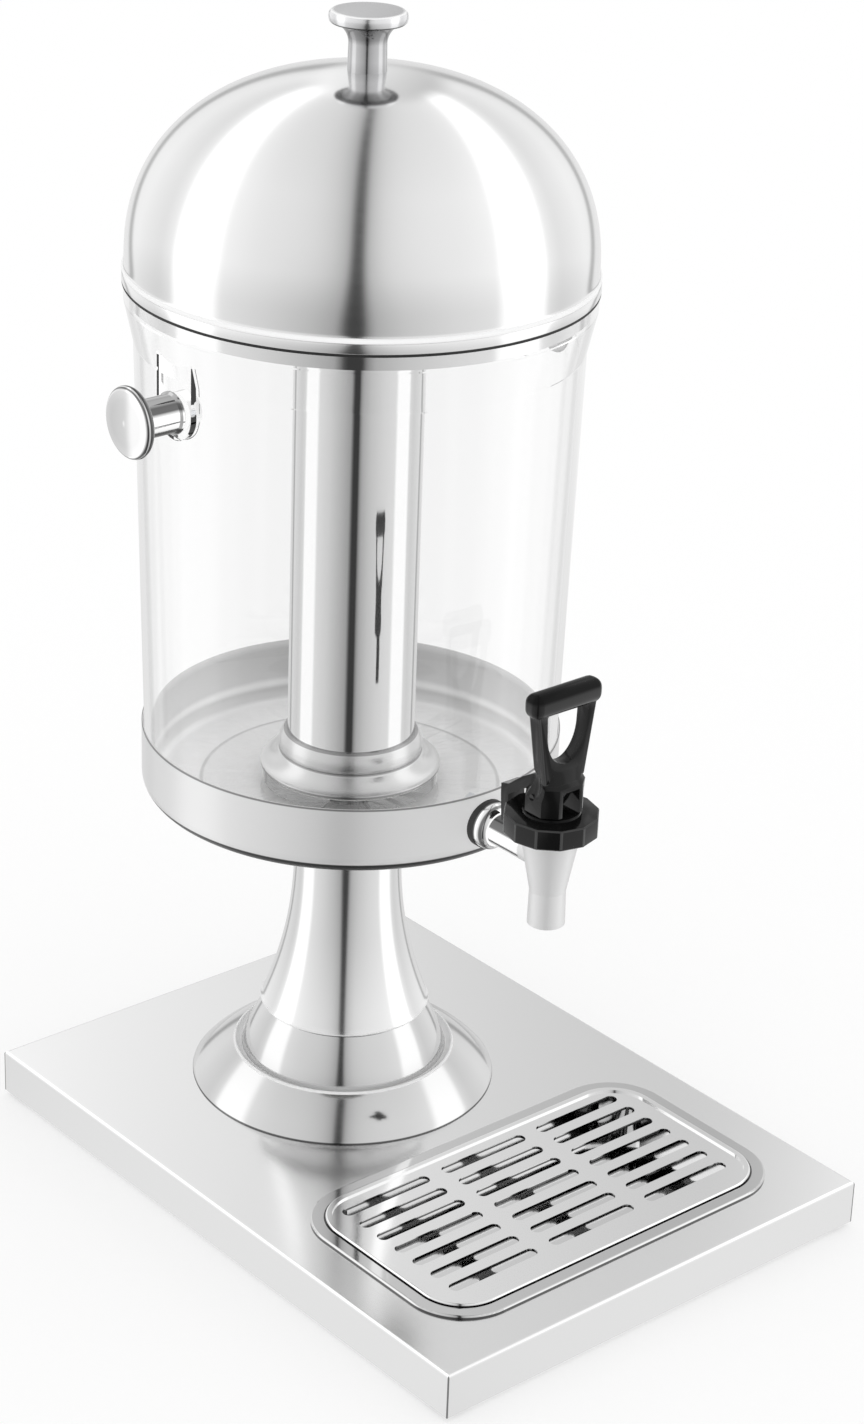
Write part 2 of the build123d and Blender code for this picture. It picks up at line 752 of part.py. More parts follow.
def make_lid_dome():
    """Spun dome with a stepped rim."""
    outer = dome_curve(0)
    inner = dome_curve(lid_sheet)
    inner.reverse()
    inner_rim = lid_rim_radius - lid_sheet
    bead_top = lid_bead_height + lid_bead_rise
    outline = Polyline((lid_rim_radius, 0), (lid_rim_radius, lid_bead_height), (lid_radius, bead_top),
                       outer[0])
    outline += Spline(*outer, tangents=((0, 1), (-1, 0)))
    outline += Line(outer[-1], inner[0])
    outline += Spline(*inner, tangents=((1, 0), (0, -1)))
    outline += Polyline(inner[-1], (lid_radius - lid_sheet, bead_top), (inner_rim, lid_bead_height),
                        (inner_rim, 0), (lid_rim_radius, 0))
    dome = turned(outline, (0, pedestal_y), lip_top_z)
    return dome - disc(lid_screw_radius + hole_clearance, lid_height, lip_top_z, (0, pedestal_y))


def make_lid_seat_ring():
    """Ring inside the lid's rim: a flange that rests on the lip and a plug that centres it."""
    plug = container_lip_inner_radius - lid_plug_clearance
    flange = lid_rim_radius - lid_sheet
    outline = Polyline((flange, 0), (flange, lid_sheet), (plug - lid_sheet, lid_sheet),
                       (plug - lid_sheet, -lid_plug_depth), (plug, -lid_plug_depth), (plug, 0), close=True)
    return turned(outline, (0, pedestal_y), lip_top_z)


def make_lid_knob():
    """Turned knob on top of the lid."""
    outline = knob_outline(lid_knob_height, lid_knob_disc_radius, lid_knob_disc_thickness,
                           lid_knob_disc_crown, lid_knob_flare_radius, lid_knob_flare_height,
                           lid_knob_neck_radius, lid_knob_foot_radius, lid_knob_foot_height,
                           lid_knob_flare_hollow, lid_knob_rim_bulge)
    knob = turned(outline, (0, pedestal_y), lid_apex_z)
    bore = lid_screw_radius + thread_clearance
    return knob - disc(bore, lid_screw_engagement, lid_apex_z, (0, pedestal_y))


def lid_washer_z():
    """Underside of the washer that seats inside the dome's top."""
    seat = dome_height(lid_washer_radius, lid_sheet) - thread_clearance
    return lip_top_z + seat - lid_washer_thickness


def make_lid_washer():
    """Washer under the knob's screw, inside the dome."""
    start = lid_washer_z()
    washer = disc(lid_washer_radius, lid_washer_thickness, start, (0, pedestal_y))
    return washer - disc(lid_screw_radius + hole_clearance, lid_washer_thickness, start, (0, pedestal_y))


def make_lid_screw():
    """Pan-head screw that holds the lid's knob."""
    start = lid_washer_z()
    head = disc(lid_screw_head_radius, lid_screw_head_height, start - lid_screw_head_height, (0, pedestal_y))
    length = lid_apex_z + lid_screw_engagement - start
    return head + disc(lid_screw_radius, length, start, (0, pedestal_y))


shank_start_y = cup_front_y - outer_washer_thickness - escutcheon_thickness
nut_face_y = pedestal_y - container_bottom_radius + container_wall + inner_washer_thickness
thread_end_y = nut_face_y + lock_nut_thickness + lock_nut_overrun


def make_tap_body():
    """Chrome casting: barrel and spout upright, with a hollow shank back to the tank."""
    outline = Polyline((0, -spout_length), (spout_tip_radius, -spout_length),
                       (spout_waist_radius, -spout_waist_drop), (barrel_top_radius, barrel_top),
                       (neck_radius, barrel_top), (neck_radius, barrel_top + neck_height),
                       (0, barrel_top + neck_height), close=True)
    body = turned(outline, (0, tap_y), tap_z)
    body += rod(shank_radius, (0, tap_y, tap_z), (0, 1, 0), shank_start_y - tap_y)
    body += rod(shank_thread_radius, (0, shank_start_y, tap_z), (0, 1, 0), thread_end_y - shank_start_y)
    body -= rod(shank_bore_radius, (0, tap_y, tap_z), (0, 1, 0), thread_end_y - tap_y)
    body -= disc(spout_bore_radius, spout_length, tap_z - spout_length, (0, tap_y))
    chamber_height = barrel_top + neck_height + valve_seat_drop
    return body - disc(chamber_radius, chamber_height, tap_z - valve_seat_drop, (0, tap_y))


def make_escutcheon():
    """Domed chrome dish against the shank's shoulder."""
    hole = shank_thread_radius + thread_clearance
    outline = Polyline((hole, 0), (escutcheon_front_radius, 0))
    rim_start = escutcheon_thickness - escutcheon_rim
    outline += bulged((escutcheon_front_radius, 0), (escutcheon_radius, rim_start), escutcheon_rim / 2)
    outline += Polyline((escutcheon_radius, rim_start), (escutcheon_radius, escutcheon_thickness),
                        (hole, escutcheon_thickness), (hole, 0))
    return turned_along(outline, (0, shank_start_y, tap_z), (0, 1, 0))


def make_outer_washer():
    """Black rubber washer that follows the cup's curve."""
    start = (0, cup_front_y - outer_washer_thickness, tap_z)
    washer = rod(outer_washer_radius, start, (0, 1, 0), outer_washer_thickness + outer_washer_radius)
    washer -= disc(cup_radius, cup_height, cup_bottom_z, (0, pedestal_y))
    below = tap_z - outer_washer_radius - cup_bottom_z
    return washer - rod(shank_hole_radius, start, (0, 1, 0), cup_radius + below)


def make_inner_washer(space):
    """Soft washer inside the container that follows its wall."""
    start = (0, nut_face_y, tap_z)
    length = inner_washer_thickness + inner_washer_radius
    washer = rod(inner_washer_radius, start, (0, -1, 0), length) & space
    return washer - rod(shank_hole_radius, start, (0, -1, 0), length)


def make_lock_nut():
    """Hexagonal nut on the shank inside the container."""
    outline = RegularPolygon(lock_nut_across_flats / 2, 6, major_radius=False)
    face = Plane(origin=(0, nut_face_y, tap_z), x_dir=(0, 0, 1), z_dir=(0, 1, 0))
    nut = face * extrude(outline, lock_nut_thickness)
    return nut - rod(shank_thread_radius + thread_clearance, (0, nut_face_y, tap_z), (0, 1, 0),
                     lock_nut_thickness)


def make_bonnet():
    """Twelve-sided black nut that closes the barrel and guides the valve's stem."""
    blank = extrude(RegularPolygon(bonnet_radius, bonnet_sides), bonnet_height)
    blank = chamfer(blank.faces().sort_by(Axis.Z)[-1].edges(), bonnet_chamfer)
    bonnet = Pos(0, tap_y, bonnet_bottom_z) * blank
    bonnet -= disc(neck_radius + thread_clearance, neck_height, bonnet_bottom_z, (0, tap_y))
    return bonnet - disc(valve_stem_radius + running_clearance, bonnet_height, bonnet_bottom_z, (0, tap_y))


valve_seat_z = tap_z - valve_seat_drop
collar_z = valve_seat_z + seat_cup_height


def make_valve_stem():
    """Stem with a spring collar and a round head for the handle's pin."""
    bottom = valve_seat_z + seat_cup_round
    stem = disc(valve_stem_radius, pin_z - bottom, bottom, (0, tap_y))
    stem += disc(valve_collar_radius, valve_collar_thickness, collar_z, (0, tap_y))
    stem += rod(valve_head_radius, (-valve_head_width / 2, tap_y, pin_z), (1, 0, 0), valve_head_width)
    return stem - rod(pin_radius + thread_clearance, (-valve_head_width / 2, tap_y, pin_z), (1, 0, 0),
                      valve_head_width)


def make_seat_cup():
    """Silicone plug that closes the valve's seat."""
    cup = disc(seat_cup_radius, seat_cup_height, valve_seat_z, (0, tap_y))
    cup = fillet(cup.edges().sort_by(Axis.Z)[-1], seat_cup_round)
    stem_bottom = valve_seat_z + seat_cup_round
    return cup - disc(valve_stem_radius + thread_clearance, seat_cup_height, stem_bottom, (0, tap_y))


def make_valve_spring():
    """Closing spring between the stem's collar and the bonnet."""
    start = collar_z + valve_collar_thickness + spring_wire_radius + thread_clearance
    end = bonnet_bottom_z + neck_height - spring_wire_radius - thread_clearance
    coil = Helix((end - start) / spring_turns, end - start, spring_mean_radius)
    wire = sweep(Plane(origin=coil @ 0, z_dir=coil % 0) * Circle(spring_wire_radius), path=coil)
    return Pos(0, tap_y, start) * wire


def make_handle_pin():
    """Pin through the stem's head that carries the handle."""
    return rod(pin_radius, (-handle_half_width, tap_y, pin_z), (1, 0, 0), 2 * handle_half_width)


def make_handle_block():
    """Lower block of the handle, slotted for the stem's head."""
    bottom = bonnet_top_z + handle_gap
    cheek = -handle_cheek_reach
    plan = make_face(Polyline((-handle_front_half_width, -handle_front_reach),
                              (handle_front_half_width, -handle_front_reach), (handle_half_width, cheek),
                              (handle_half_width, handle_back_reach),
                              (-handle_half_width, handle_back_reach), (-handle_half_width, cheek),
                              close=True))
    block = extrude(plan, handle_block_height)
    heel = block.faces().sort_by(Axis.Z)[0].edges().sort_by(Axis.Y)[0]
    block = fillet(heel, handle_heel_round)
    slot_depth = handle_front_reach + handle_slot_back
    slot = Box(2 * handle_slot_half_width, slot_depth, handle_slot_height,
               align=(Align.CENTER, Align.MIN, Align.MIN))
    block -= Pos(0, -handle_front_reach, 0) * slot
    return Pos(0, tap_y, bottom) * block


def make_stirrup():
    """Upright frame above the block with a bow-shaped finger gap under the grip."""
    bottom = handle_gap + handle_block_height - stirrup_overlap
    shoulder = handle_gap + handle_block_height
    top = grip_height_above_bonnet
    outline = make_face(Polyline((-handle_half_width, bottom), (handle_half_width, bottom),
                                 (stirrup_shoulder_half_width, shoulder), (stirrup_top_half_width, top),
                                 (-stirrup_top_half_width, top), (-stirrup_shoulder_half_width, shoulder),
                                 close=True))
    window = Rectangle(2 * window_half_width, top - window_bow_height, align=(Align.CENTER, Align.MIN))
    window += Ellipse(window_half_width, window_bow_depth)
    outline -= Pos(0, window_bow_height) * window
    frame = extrude(outline, stirrup_thickness / 2, both=True)
    frame = fillet(frame.faces().sort_by(Axis.Z)[-1].edges() + frame.faces().sort_by(Axis.Z)[0].edges(),
                   stirrup_edge_round)
    return Plane(origin=(0, tap_y - stirrup_offset, bonnet_top_z), x_dir=(1, 0, 0), z_dir=(0, -1, 0)) * frame


def make_tail():
    """Hooked tail behind the block that stops short of the shank."""
    root = handle_back_reach - tail_thickness / 2
    shin = tail_reach - tail_thickness
    knee = tail_root_height - tail_bend_drop
    outline = make_face(Polyline((root, tail_root_height), (root + tail_thickness, tail_root_height),
                                 (tail_reach, knee), (tail_reach - tail_thickness / 2, -tail_drop),
                                 (shin - tail_thickness / 2, -tail_drop), (shin, knee - tail_thickness / 2),
                                 (root, tail_root_height - tail_thickness), close=True))
    tail = extrude(outline, tail_half_width, both=True)
    return Plane(origin=(0, tap_y, bonnet_top_z), x_dir=(0, 1, 0), z_dir=(1, 0, 0)) * tail


def make_tap_handle():
    """Lever with a grip bar, a stirrup, a slotted block and a hooked tail."""
    grip_z = bonnet_top_z + grip_height_above_bonnet
    grip_start = (-grip_half_length, tap_y - stirrup_offset, grip_z)
    grip = rod(grip_radius, grip_start, (1, 0, 0), 2 * grip_half_length)
    grip = fillet(grip.edges().filter_by(GeomType.CIRCLE), grip_end_round)
    handle = make_handle_block() + make_stirrup() + make_tail() + grip
    return handle - rod(pin_radius + running_clearance, (-handle_half_width, tap_y, pin_z), (1, 0, 0),
                        2 * handle_half_width)


os.makedirs("parts", exist_ok=True)
inside_space = container_space()

# Stand
write("base_pan", make_base_pan())
write("rubber_feet", make_rubber_feet())
write("foot_screws", make_foot_screws())
write("foot_nuts", make_foot_nuts())
write("pedestal_foot", make_pedestal_foot())
write("pedestal_stem", make_pedestal_stem())
write("tank_support_plate", make_support_plate())
write("pan_backing_plate", make_backing_plate())
write("tie_rod", make_tie_rod())
write("tie_rod_nuts", make_tie_nuts())
write("tie_rod_washers", make_tie_washers())

# Drip tray
write("drip_tray", make_drip_tray())
write("drip_grate", make_drip_grate())

# Tank
write("container", make_container(inside_space))
write("steel_cup", make_steel_cup())
write("ice_tube", make_ice_tube())
write("ice_tube_base", make_tube_base())
write("ice_tube_spacer", make_tube_spacer())
write("ice_tube_gasket", make_tube_gasket())
write("ice_tube_stud", make_tube_stud())
write("locating_spigot", make_spigot())
write("side_knob_left", make_side_knob(-1))
write("side_knob_right", make_side_knob(1))
write("side_knob_studs", make_side_studs())
write("side_knob_washers", make_side_washers())

# Lid
write("lid_dome", make_lid_dome())
write("lid_seat_ring", make_lid_seat_ring())
write("lid_knob", make_lid_knob())
write("lid_knob_screw", make_lid_screw())
write("lid_knob_washer", make_lid_washer())

# Tap
write("tap_body", make_tap_body())
write("tap_escutcheon", make_escutcheon())
write("tap_outer_washer", make_outer_washer())
write("tap_inner_washer", make_inner_washer(inside_space))
write("tap_lock_nut", make_lock_nut())
write("tap_bonnet", make_bonnet())
write("valve_stem", make_valve_stem())
write("valve_seat_cup", make_seat_cup())
write("valve_spring", make_valve_spring())
write("handle_pin", make_handle_pin())
write("tap_handle", make_tap_handle())
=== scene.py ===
import math

import bpy
from bpy.props import FloatProperty, FloatVectorProperty, IntProperty, PointerProperty
from mathutils import Matrix, Vector


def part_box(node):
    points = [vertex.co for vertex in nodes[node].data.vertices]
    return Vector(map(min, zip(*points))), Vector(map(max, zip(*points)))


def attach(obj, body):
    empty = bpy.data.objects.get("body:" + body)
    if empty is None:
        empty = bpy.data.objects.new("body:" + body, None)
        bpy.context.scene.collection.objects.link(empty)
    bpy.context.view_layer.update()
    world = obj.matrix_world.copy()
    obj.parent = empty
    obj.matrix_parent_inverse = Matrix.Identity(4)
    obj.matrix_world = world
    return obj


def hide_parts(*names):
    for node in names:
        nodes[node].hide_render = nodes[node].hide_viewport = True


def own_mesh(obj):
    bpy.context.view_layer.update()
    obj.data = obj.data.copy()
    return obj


bl_info = {
    "name": "Juice dispenser",
    "version": (1, 0, 0),
    "blender": (4, 5, 0),
    "location": "View3D > Sidebar > Dispenser",
    "description": "Finishes a catering juice dispenser: steel, clear tank, chrome tap and black handle",
    "category": "Object",
}

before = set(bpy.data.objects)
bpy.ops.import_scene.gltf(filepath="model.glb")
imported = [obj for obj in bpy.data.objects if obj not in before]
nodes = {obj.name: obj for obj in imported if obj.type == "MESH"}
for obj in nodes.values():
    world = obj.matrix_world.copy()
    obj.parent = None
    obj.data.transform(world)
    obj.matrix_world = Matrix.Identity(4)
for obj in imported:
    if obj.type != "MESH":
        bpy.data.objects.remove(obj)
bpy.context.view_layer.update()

MM = 0.001
ACROSS, BACK, UP = (1.0, 0.0, 0.0), (0.0, 1.0, 0.0), (0.0, 0.0, 1.0)
# The pedestal, the tank and the lid share an upright axis at this depth
PEDESTAL_AXIS_Y = sum(corner.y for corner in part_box("pedestal_foot")) / 2


class FinishSettings(bpy.types.PropertyGroup):
    """Colours and gloss of the dispenser's materials."""

    steel_colour: FloatVectorProperty(
        name="Steel", description="Colour of the polished steel", subtype="COLOR",
        min=0.0, max=1.0, default=(0.82, 0.82, 0.82))
    polish_roughness: FloatProperty(
        name="Polish", description="Roughness of the mirror-polished steel", min=0.0, max=1.0, default=0.06)
    lid_roughness: FloatProperty(
        name="Lid polish", description="Roughness of the softer polish on the lid and the stem",
        min=0.0, max=1.0, default=0.12)
    foot_roughness: FloatProperty(
        name="Foot polish", description="Roughness of the foot's polish", min=0.0, max=1.0, default=0.1)
    satin_colour: FloatVectorProperty(
        name="Satin", description="Colour of the satin base", subtype="COLOR",
        min=0.0, max=1.0, default=(0.8, 0.8, 0.8))
    grate_colour: FloatVectorProperty(
        name="Grate", description="Colour of the drip grate", subtype="COLOR",
        min=0.0, max=1.0, default=(0.83, 0.83, 0.83))
    satin_roughness: FloatProperty(
        name="Satin grain", description="Roughness of the satin base", min=0.0, max=1.0, default=0.17)
    cup_roughness: FloatProperty(
        name="Cup grain", description="Roughness of the cup's outside", min=0.0, max=1.0, default=0.3)
    chrome_colour: FloatVectorProperty(
        name="Chrome", description="Colour of the plated tap and knobs", subtype="COLOR",
        min=0.0, max=1.0, default=(0.86, 0.86, 0.87))
    zinc_colour: FloatVectorProperty(
        name="Zinc", description="Colour of the hidden fasteners and the spring", subtype="COLOR",
        min=0.0, max=1.0, default=(0.62, 0.63, 0.65))
    clear_colour: FloatVectorProperty(
        name="Clear", description="Tint of the clear tank", subtype="COLOR",
        min=0.0, max=1.0, default=(0.97, 0.97, 0.97))
    black_colour: FloatVectorProperty(
        name="Black", description="Colour of the moulded handle and bonnet", subtype="COLOR",
        min=0.0, max=1.0, default=(0.006, 0.006, 0.007))
    rubber_colour: FloatVectorProperty(
        name="Rubber", description="Colour of the feet, the lid's seal and the tap's washer", subtype="COLOR",
        min=0.0, max=1.0, default=(0.008, 0.008, 0.008))
    silicone_colour: FloatVectorProperty(
        name="Silicone", description="Colour of the soft seals", subtype="COLOR",
        min=0.0, max=1.0, default=(0.84, 0.84, 0.82))


class StageSettings(bpy.types.PropertyGroup):
    """Camera, floor and light."""

    camera_azimuth: FloatProperty(
        name="Azimuth", description="Camera's turn round the object", subtype="ANGLE",
        default=math.radians(-40.974))
    camera_elevation: FloatProperty(
        name="Elevation", description="Camera's height above the horizon", subtype="ANGLE",
        default=math.radians(24.597))
    camera_roll: FloatProperty(
        name="Roll", description="Camera's tilt about its own line of sight", subtype="ANGLE",
        default=math.radians(2.047))
    camera_distance: FloatProperty(
        name="Distance", description="From the camera to the point it looks at", unit="LENGTH", default=1.58631)
    camera_target: FloatVectorProperty(
        name="Target", description="Point that the camera looks at", subtype="XYZ", unit="LENGTH",
        default=(0.007983, 0.009951, 0.241042))
    camera_lens: FloatProperty(
        name="Lens", description="Focal length on a 36 mm sensor", min=1.0, default=84.14)
    floor_size: FloatProperty(
        name="Floor", description="Length of the floor's sides", unit="LENGTH", min=1.0, default=12.0)
    floor_colour: FloatVectorProperty(
        name="Floor colour", description="Colour of the floor", subtype="COLOR",
        min=0.0, max=1.0, default=(1.0, 1.0, 1.0))
    light_level: FloatProperty(
        name="Light", description="Strength of the even studio light", min=0.0, default=1.0)


def node_tree(name):
    """A new material with a Principled shader; gives the material, its tree and the shader."""
    material = bpy.data.materials.new(name)
    material.use_nodes = True
    tree = material.node_tree
    return material, tree, tree.nodes["Principled BSDF"]


def add_node(tree, kind, **values):
    """Add a node and set its own fields or, for names of sockets, its default values."""
    node = tree.nodes.new(kind)
    for name, value in values.items():
        if name in node.bl_rna.properties:
            setattr(node, name, value)
        else:
            node.inputs[name.replace("_", " ")].default_value = value
    return node


def feed(tree, sockets, terms):
    """Feed sockets in order, each from another socket or with a fixed value."""
    for socket, term in zip(sockets, terms):
        if isinstance(term, bpy.types.NodeSocket):
            tree.links.new(term, socket)
        else:
            socket.default_value = term


def calculate(tree, operation, *terms):
    """A Math node on sockets or numbers."""
    node = add_node(tree, "ShaderNodeMath", operation=operation)
    feed(tree, node.inputs, terms)
    return node.outputs["Value"]


def vector(tree, operation, *terms):
    """A Vector Math node on sockets or fixed vectors."""
    node = add_node(tree, "ShaderNodeVectorMath", operation=operation)
    feed(tree, node.inputs, terms)
    return node.outputs["Value" if operation in ("DOT_PRODUCT", "LENGTH") else "Vector"]


def scaled(tree, colour, factor):
    """A colour made brighter or darker by a number."""
    node = add_node(tree, "ShaderNodeVectorMath", operation="SCALE", Scale=factor)
    tree.links.new(colour, node.inputs[0])
    return node.outputs["Vector"]


def grey(level):
    """A grey of one level."""
    return level, level, level, 1.0


def blended(tree, factor, first, second, kind="MIX"):
    """A colour between two others, each a socket, a fixed colour or the level of a grey."""
    node = add_node(tree, "ShaderNodeMix", data_type="RGBA", blend_type=kind)
    colours = [grey(colour) if isinstance(colour, float) else colour for colour in (first, second)]
    sockets = [socket for socket in node.inputs if socket.type == "RGBA"]
    feed(tree, [node.inputs["Factor"], *sockets], [factor, *colours])
    return next(socket for socket in node.outputs if socket.type == "RGBA")


def mixed(tree, factor, first, second):
    """A shader between two others."""
    node = add_node(tree, "ShaderNodeMixShader")
    feed(tree, node.inputs, (factor, first, second))
    return node.outputs["Shader"]


def spread(tree, value, before, after, interpolation="LINEAR"):
    """Carry a value over from one range to another."""
    node = add_node(tree, "ShaderNodeMapRange", interpolation_type=interpolation, From_Min=before[0],
                    From_Max=before[1], To_Min=after[0], To_Max=after[1])
    tree.links.new(value, node.inputs["Value"])
    return node.outputs["Result"]


def between(tree, factor, low, high):
    """Spread a factor over a range of values."""
    return spread(tree, factor, (0.0, 1.0), (low, high))


def ramp(tree, factor, stops):
    """A grey ramp from pairs of place, from 0 to 1, and brightness."""
    node = add_node(tree, "ShaderNodeValToRGB")
    elements = node.color_ramp.elements
    for element, (spot, level) in zip(elements, (stops[0], stops[-1])):
        element.position = spot
        element.color = grey(level)
    for spot, level in stops[1:-1]:
        elements.new(spot).color = grey(level)
    tree.links.new(factor, node.inputs["Fac"])
    return node.outputs["Color"]


def along(tree, value, stops):
    """A grey that changes along a measure, from pairs of millimetres and level."""
    low, high = stops[0][0], stops[-1][0]
    factor = spread(tree, value, (low * MM, high * MM), (0.0, 1.0))
    return ramp(tree, factor, [((spot - low) / (high - low), level) for spot, level in stops])


def shifted(start, stops, tone=1.0):
    """A run of stops counted from a place on the piece, with its levels scaled by a tone."""
    return [(start + step, tone * level) for step, level in stops]


def lined(stops, low, high, width, level):
    """Add a band of one level between two places to a run of stops."""
    before = [stop for stop in stops if stop[0] < low - width]
    after = [stop for stop in stops if stop[0] > high + width]
    band = [(low - width, before[-1][1]), (low, level), (high, level), (high + width, after[0][1])]
    return before + band + after


def heights(name):
    """The lowest and highest level of a CAD node in millimetres."""
    return [corner.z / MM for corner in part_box(name)]


def coordinates(tree):
    """The piece's own coordinates in metres."""
    return add_node(tree, "ShaderNodeTexCoord").outputs["Object"]


def measure(tree, direction):
    """How far a point of the piece lies along a direction."""
    return vector(tree, "DOT_PRODUCT", coordinates(tree), direction)


def height(tree):
    """Height above the floor."""
    return measure(tree, UP)


def from_pedestal(tree):
    """Distance from the pedestal's axis."""
    level = vector(tree, "MULTIPLY_ADD", coordinates(tree), (1.0, 1.0, 0.0), (0.0, -PEDESTAL_AXIS_Y, 0.0))
    return vector(tree, "LENGTH", level)


def slant(tree, first, second):
    """The distance that two steps at right angles make."""
    squares = calculate(tree, "MULTIPLY_ADD", first, first, calculate(tree, "MULTIPLY", second, second))
    return calculate(tree, "SQRT", squares)


def grain(tree, stretch, scale, detail=3.0):
    """A noise pattern on the piece's own coordinates, stretched along some of its axes."""
    mapping = add_node(tree, "ShaderNodeMapping", Scale=stretch)
    noise = add_node(tree, "ShaderNodeTexNoise", Scale=scale, Detail=detail)
    tree.links.new(coordinates(tree), mapping.inputs["Vector"])
    tree.links.new(mapping.outputs["Vector"], noise.inputs["Vector"])
    return noise.outputs["Fac"]


def bump(tree, shader, pattern, strength, distance):
    """Raise a surface by a pattern."""
    node = add_node(tree, "ShaderNodeBump", Strength=strength, Distance=distance)
    tree.links.new(pattern, node.inputs["Height"])
    tree.links.new(node.outputs["Normal"], shader.inputs["Normal"])


def worked(tree, shader, roughness, marks):
    """Roughness that follows a base value and gives a little with a fine grain; gives that grain."""
    *pattern, give = marks
    lines = grain(tree, *pattern)
    fine = between(tree, lines, -give, give)
    tree.links.new(calculate(tree, "ADD", roughness, fine), shader.inputs["Roughness"])
    return lines


def dress(tree, shader, colour, metallic=1.0):
    """Give a shader its colour and its share of metal, each from a socket or as a fixed value."""
    feed(tree, (shader.inputs["Base Color"], shader.inputs["Metallic"]), (colour, metallic))


# Grain of each finish: how it is stretched along x, y and z, how fine and how detailed it is, and how much it
# changes the roughness
ROUND, LENGTHWAYS, EVEN = (0.2, 0.2, 30.0), (60.0, 0.6, 60.0), (1.0, 1.0, 1.0)
TURNED, POLISHED, CUP_TURNED = (ROUND, 40.0, 3.0, 0.015), (ROUND, 40.0, 3.0, 0.02), (ROUND, 60.0, 3.0, 0.03)
BRUSHED, PLATED, GALVANISED = (LENGTHWAYS, 40.0, 3.0, 0.03), (EVEN, 90.0, 3.0, 0.02), (EVEN, 400.0, 3.0, 0.08)
MOULDED, SKIN = (EVEN, 400.0, 2.0, 0.03), (EVEN, 700.0, 3.0, 0.1)
# Strength and depth of the grain that moulded plastic and soft seals show as bumps
MOULDED_BUMP, SKIN_BUMP = (0.03, 0.0002), (0.2, 0.0003)
# Level of the highlights painted pale and matt on rolled edges
PAINTED_HIGHLIGHT_LEVEL = 0.95
# How far runs of stops go past the ends of a piece, in millimetres
MARGIN = 1.0


def metal(name, colour, roughness, marks):
    """A metal of one colour whose roughness follows a fine stretched grain."""
    material, tree, shader = node_tree(name)
    dress(tree, shader, (*colour, 1.0))
    worked(tree, shader, roughness, marks)
    return material


def spun_steel(name, colour, tones, roughness, pale=None):
    """Spun steel with turning marks, whose tone with any painted shade, roughness and painted pale highlights may
    change with height.
    """
    material, tree, shader = node_tree(name)
    rise = height(tree)
    tinted = blended(tree, 1.0, (*colour, 1.0), along(tree, rise, tones), "MULTIPLY")
    # A pale run paints a highlight there, a pale matt grey in place of the metal
    if pale:
        mask = along(tree, rise, pale)
        dress(tree, shader, blended(tree, mask, tinted, PAINTED_HIGHLIGHT_LEVEL), between(tree, mask, 1.0, 0.0))
    else:
        dress(tree, shader, tinted)
    if not isinstance(roughness, float):
        roughness = along(tree, rise, roughness)
    worked(tree, shader, roughness, TURNED)
    return material


def polished_steel(finish):
    """Mirror-polished spun steel with faint turning marks."""
    return metal("polished_steel_spun", finish.steel_colour, finish.polish_roughness, POLISHED)


# The highlight painted pale and matt on the lid's rolled bead: its height above the rim, the blur of its borders and
# its roughness
LID_BEAD, LID_BEAD_BLUR, LID_BEAD_ROUGHNESS = (4.8, 6.8), 0.3, 0.5


def lid_steel(finish):
    """Softly polished dome with a highlight painted pale and matt on the rolled bead above its rim."""
    rim, top = heights("lid_dome")

    def with_bead(level, bead):
        """One level over the lid and another on its bead."""
        ends = [(rim - MARGIN, level), (top + MARGIN, level)]
        return lined(ends, rim + LID_BEAD[0], rim + LID_BEAD[1], LID_BEAD_BLUR, bead)

    return spun_steel("polished_lid_dome", finish.steel_colour, with_bead(1.0, 1.0),
                      with_bead(finish.lid_roughness, LID_BEAD_ROUGHNESS), with_bead(0.0, 1.0))


# The foot by height above its lower edge: shadow painted as a dark line round its rim and in the groove above its
# step, and matt grey painted low on its collar in place of the dark reflection there
FOOT_TONE, FOOT_RIM_SHADOW = 0.8, ((-2.0, 0.25), (0.6, 0.25), (0.8, 1.0))
FOOT_GROOVE_SHADOW, FOOT_GROOVE_SHADOW_BLUR, FOOT_GROOVE_SHADOW_TONE = (15.2, 15.7), 0.15, 1 / 3
FOOT_PAINTED_GREY, FOOT_PAINTED_GREY_TONE = ((-2.0, 1.0), (17.2, 1.0), (18.2, 0.0)), 0.52
# The foot by distance from its axis: its lower tier, and the highlight painted pale on the rolled edge of its step
FOOT_TIER = ((0.0, 0.0), (51.6, 0.0), (52.0, 1.0), (100.0, 1.0))
FOOT_PAINTED_HIGHLIGHT = ((0.0, 0.0), (51.85, 0.0), (51.95, 1.0), (55.95, 1.0), (56.05, 0.0), (100.0, 0.0))


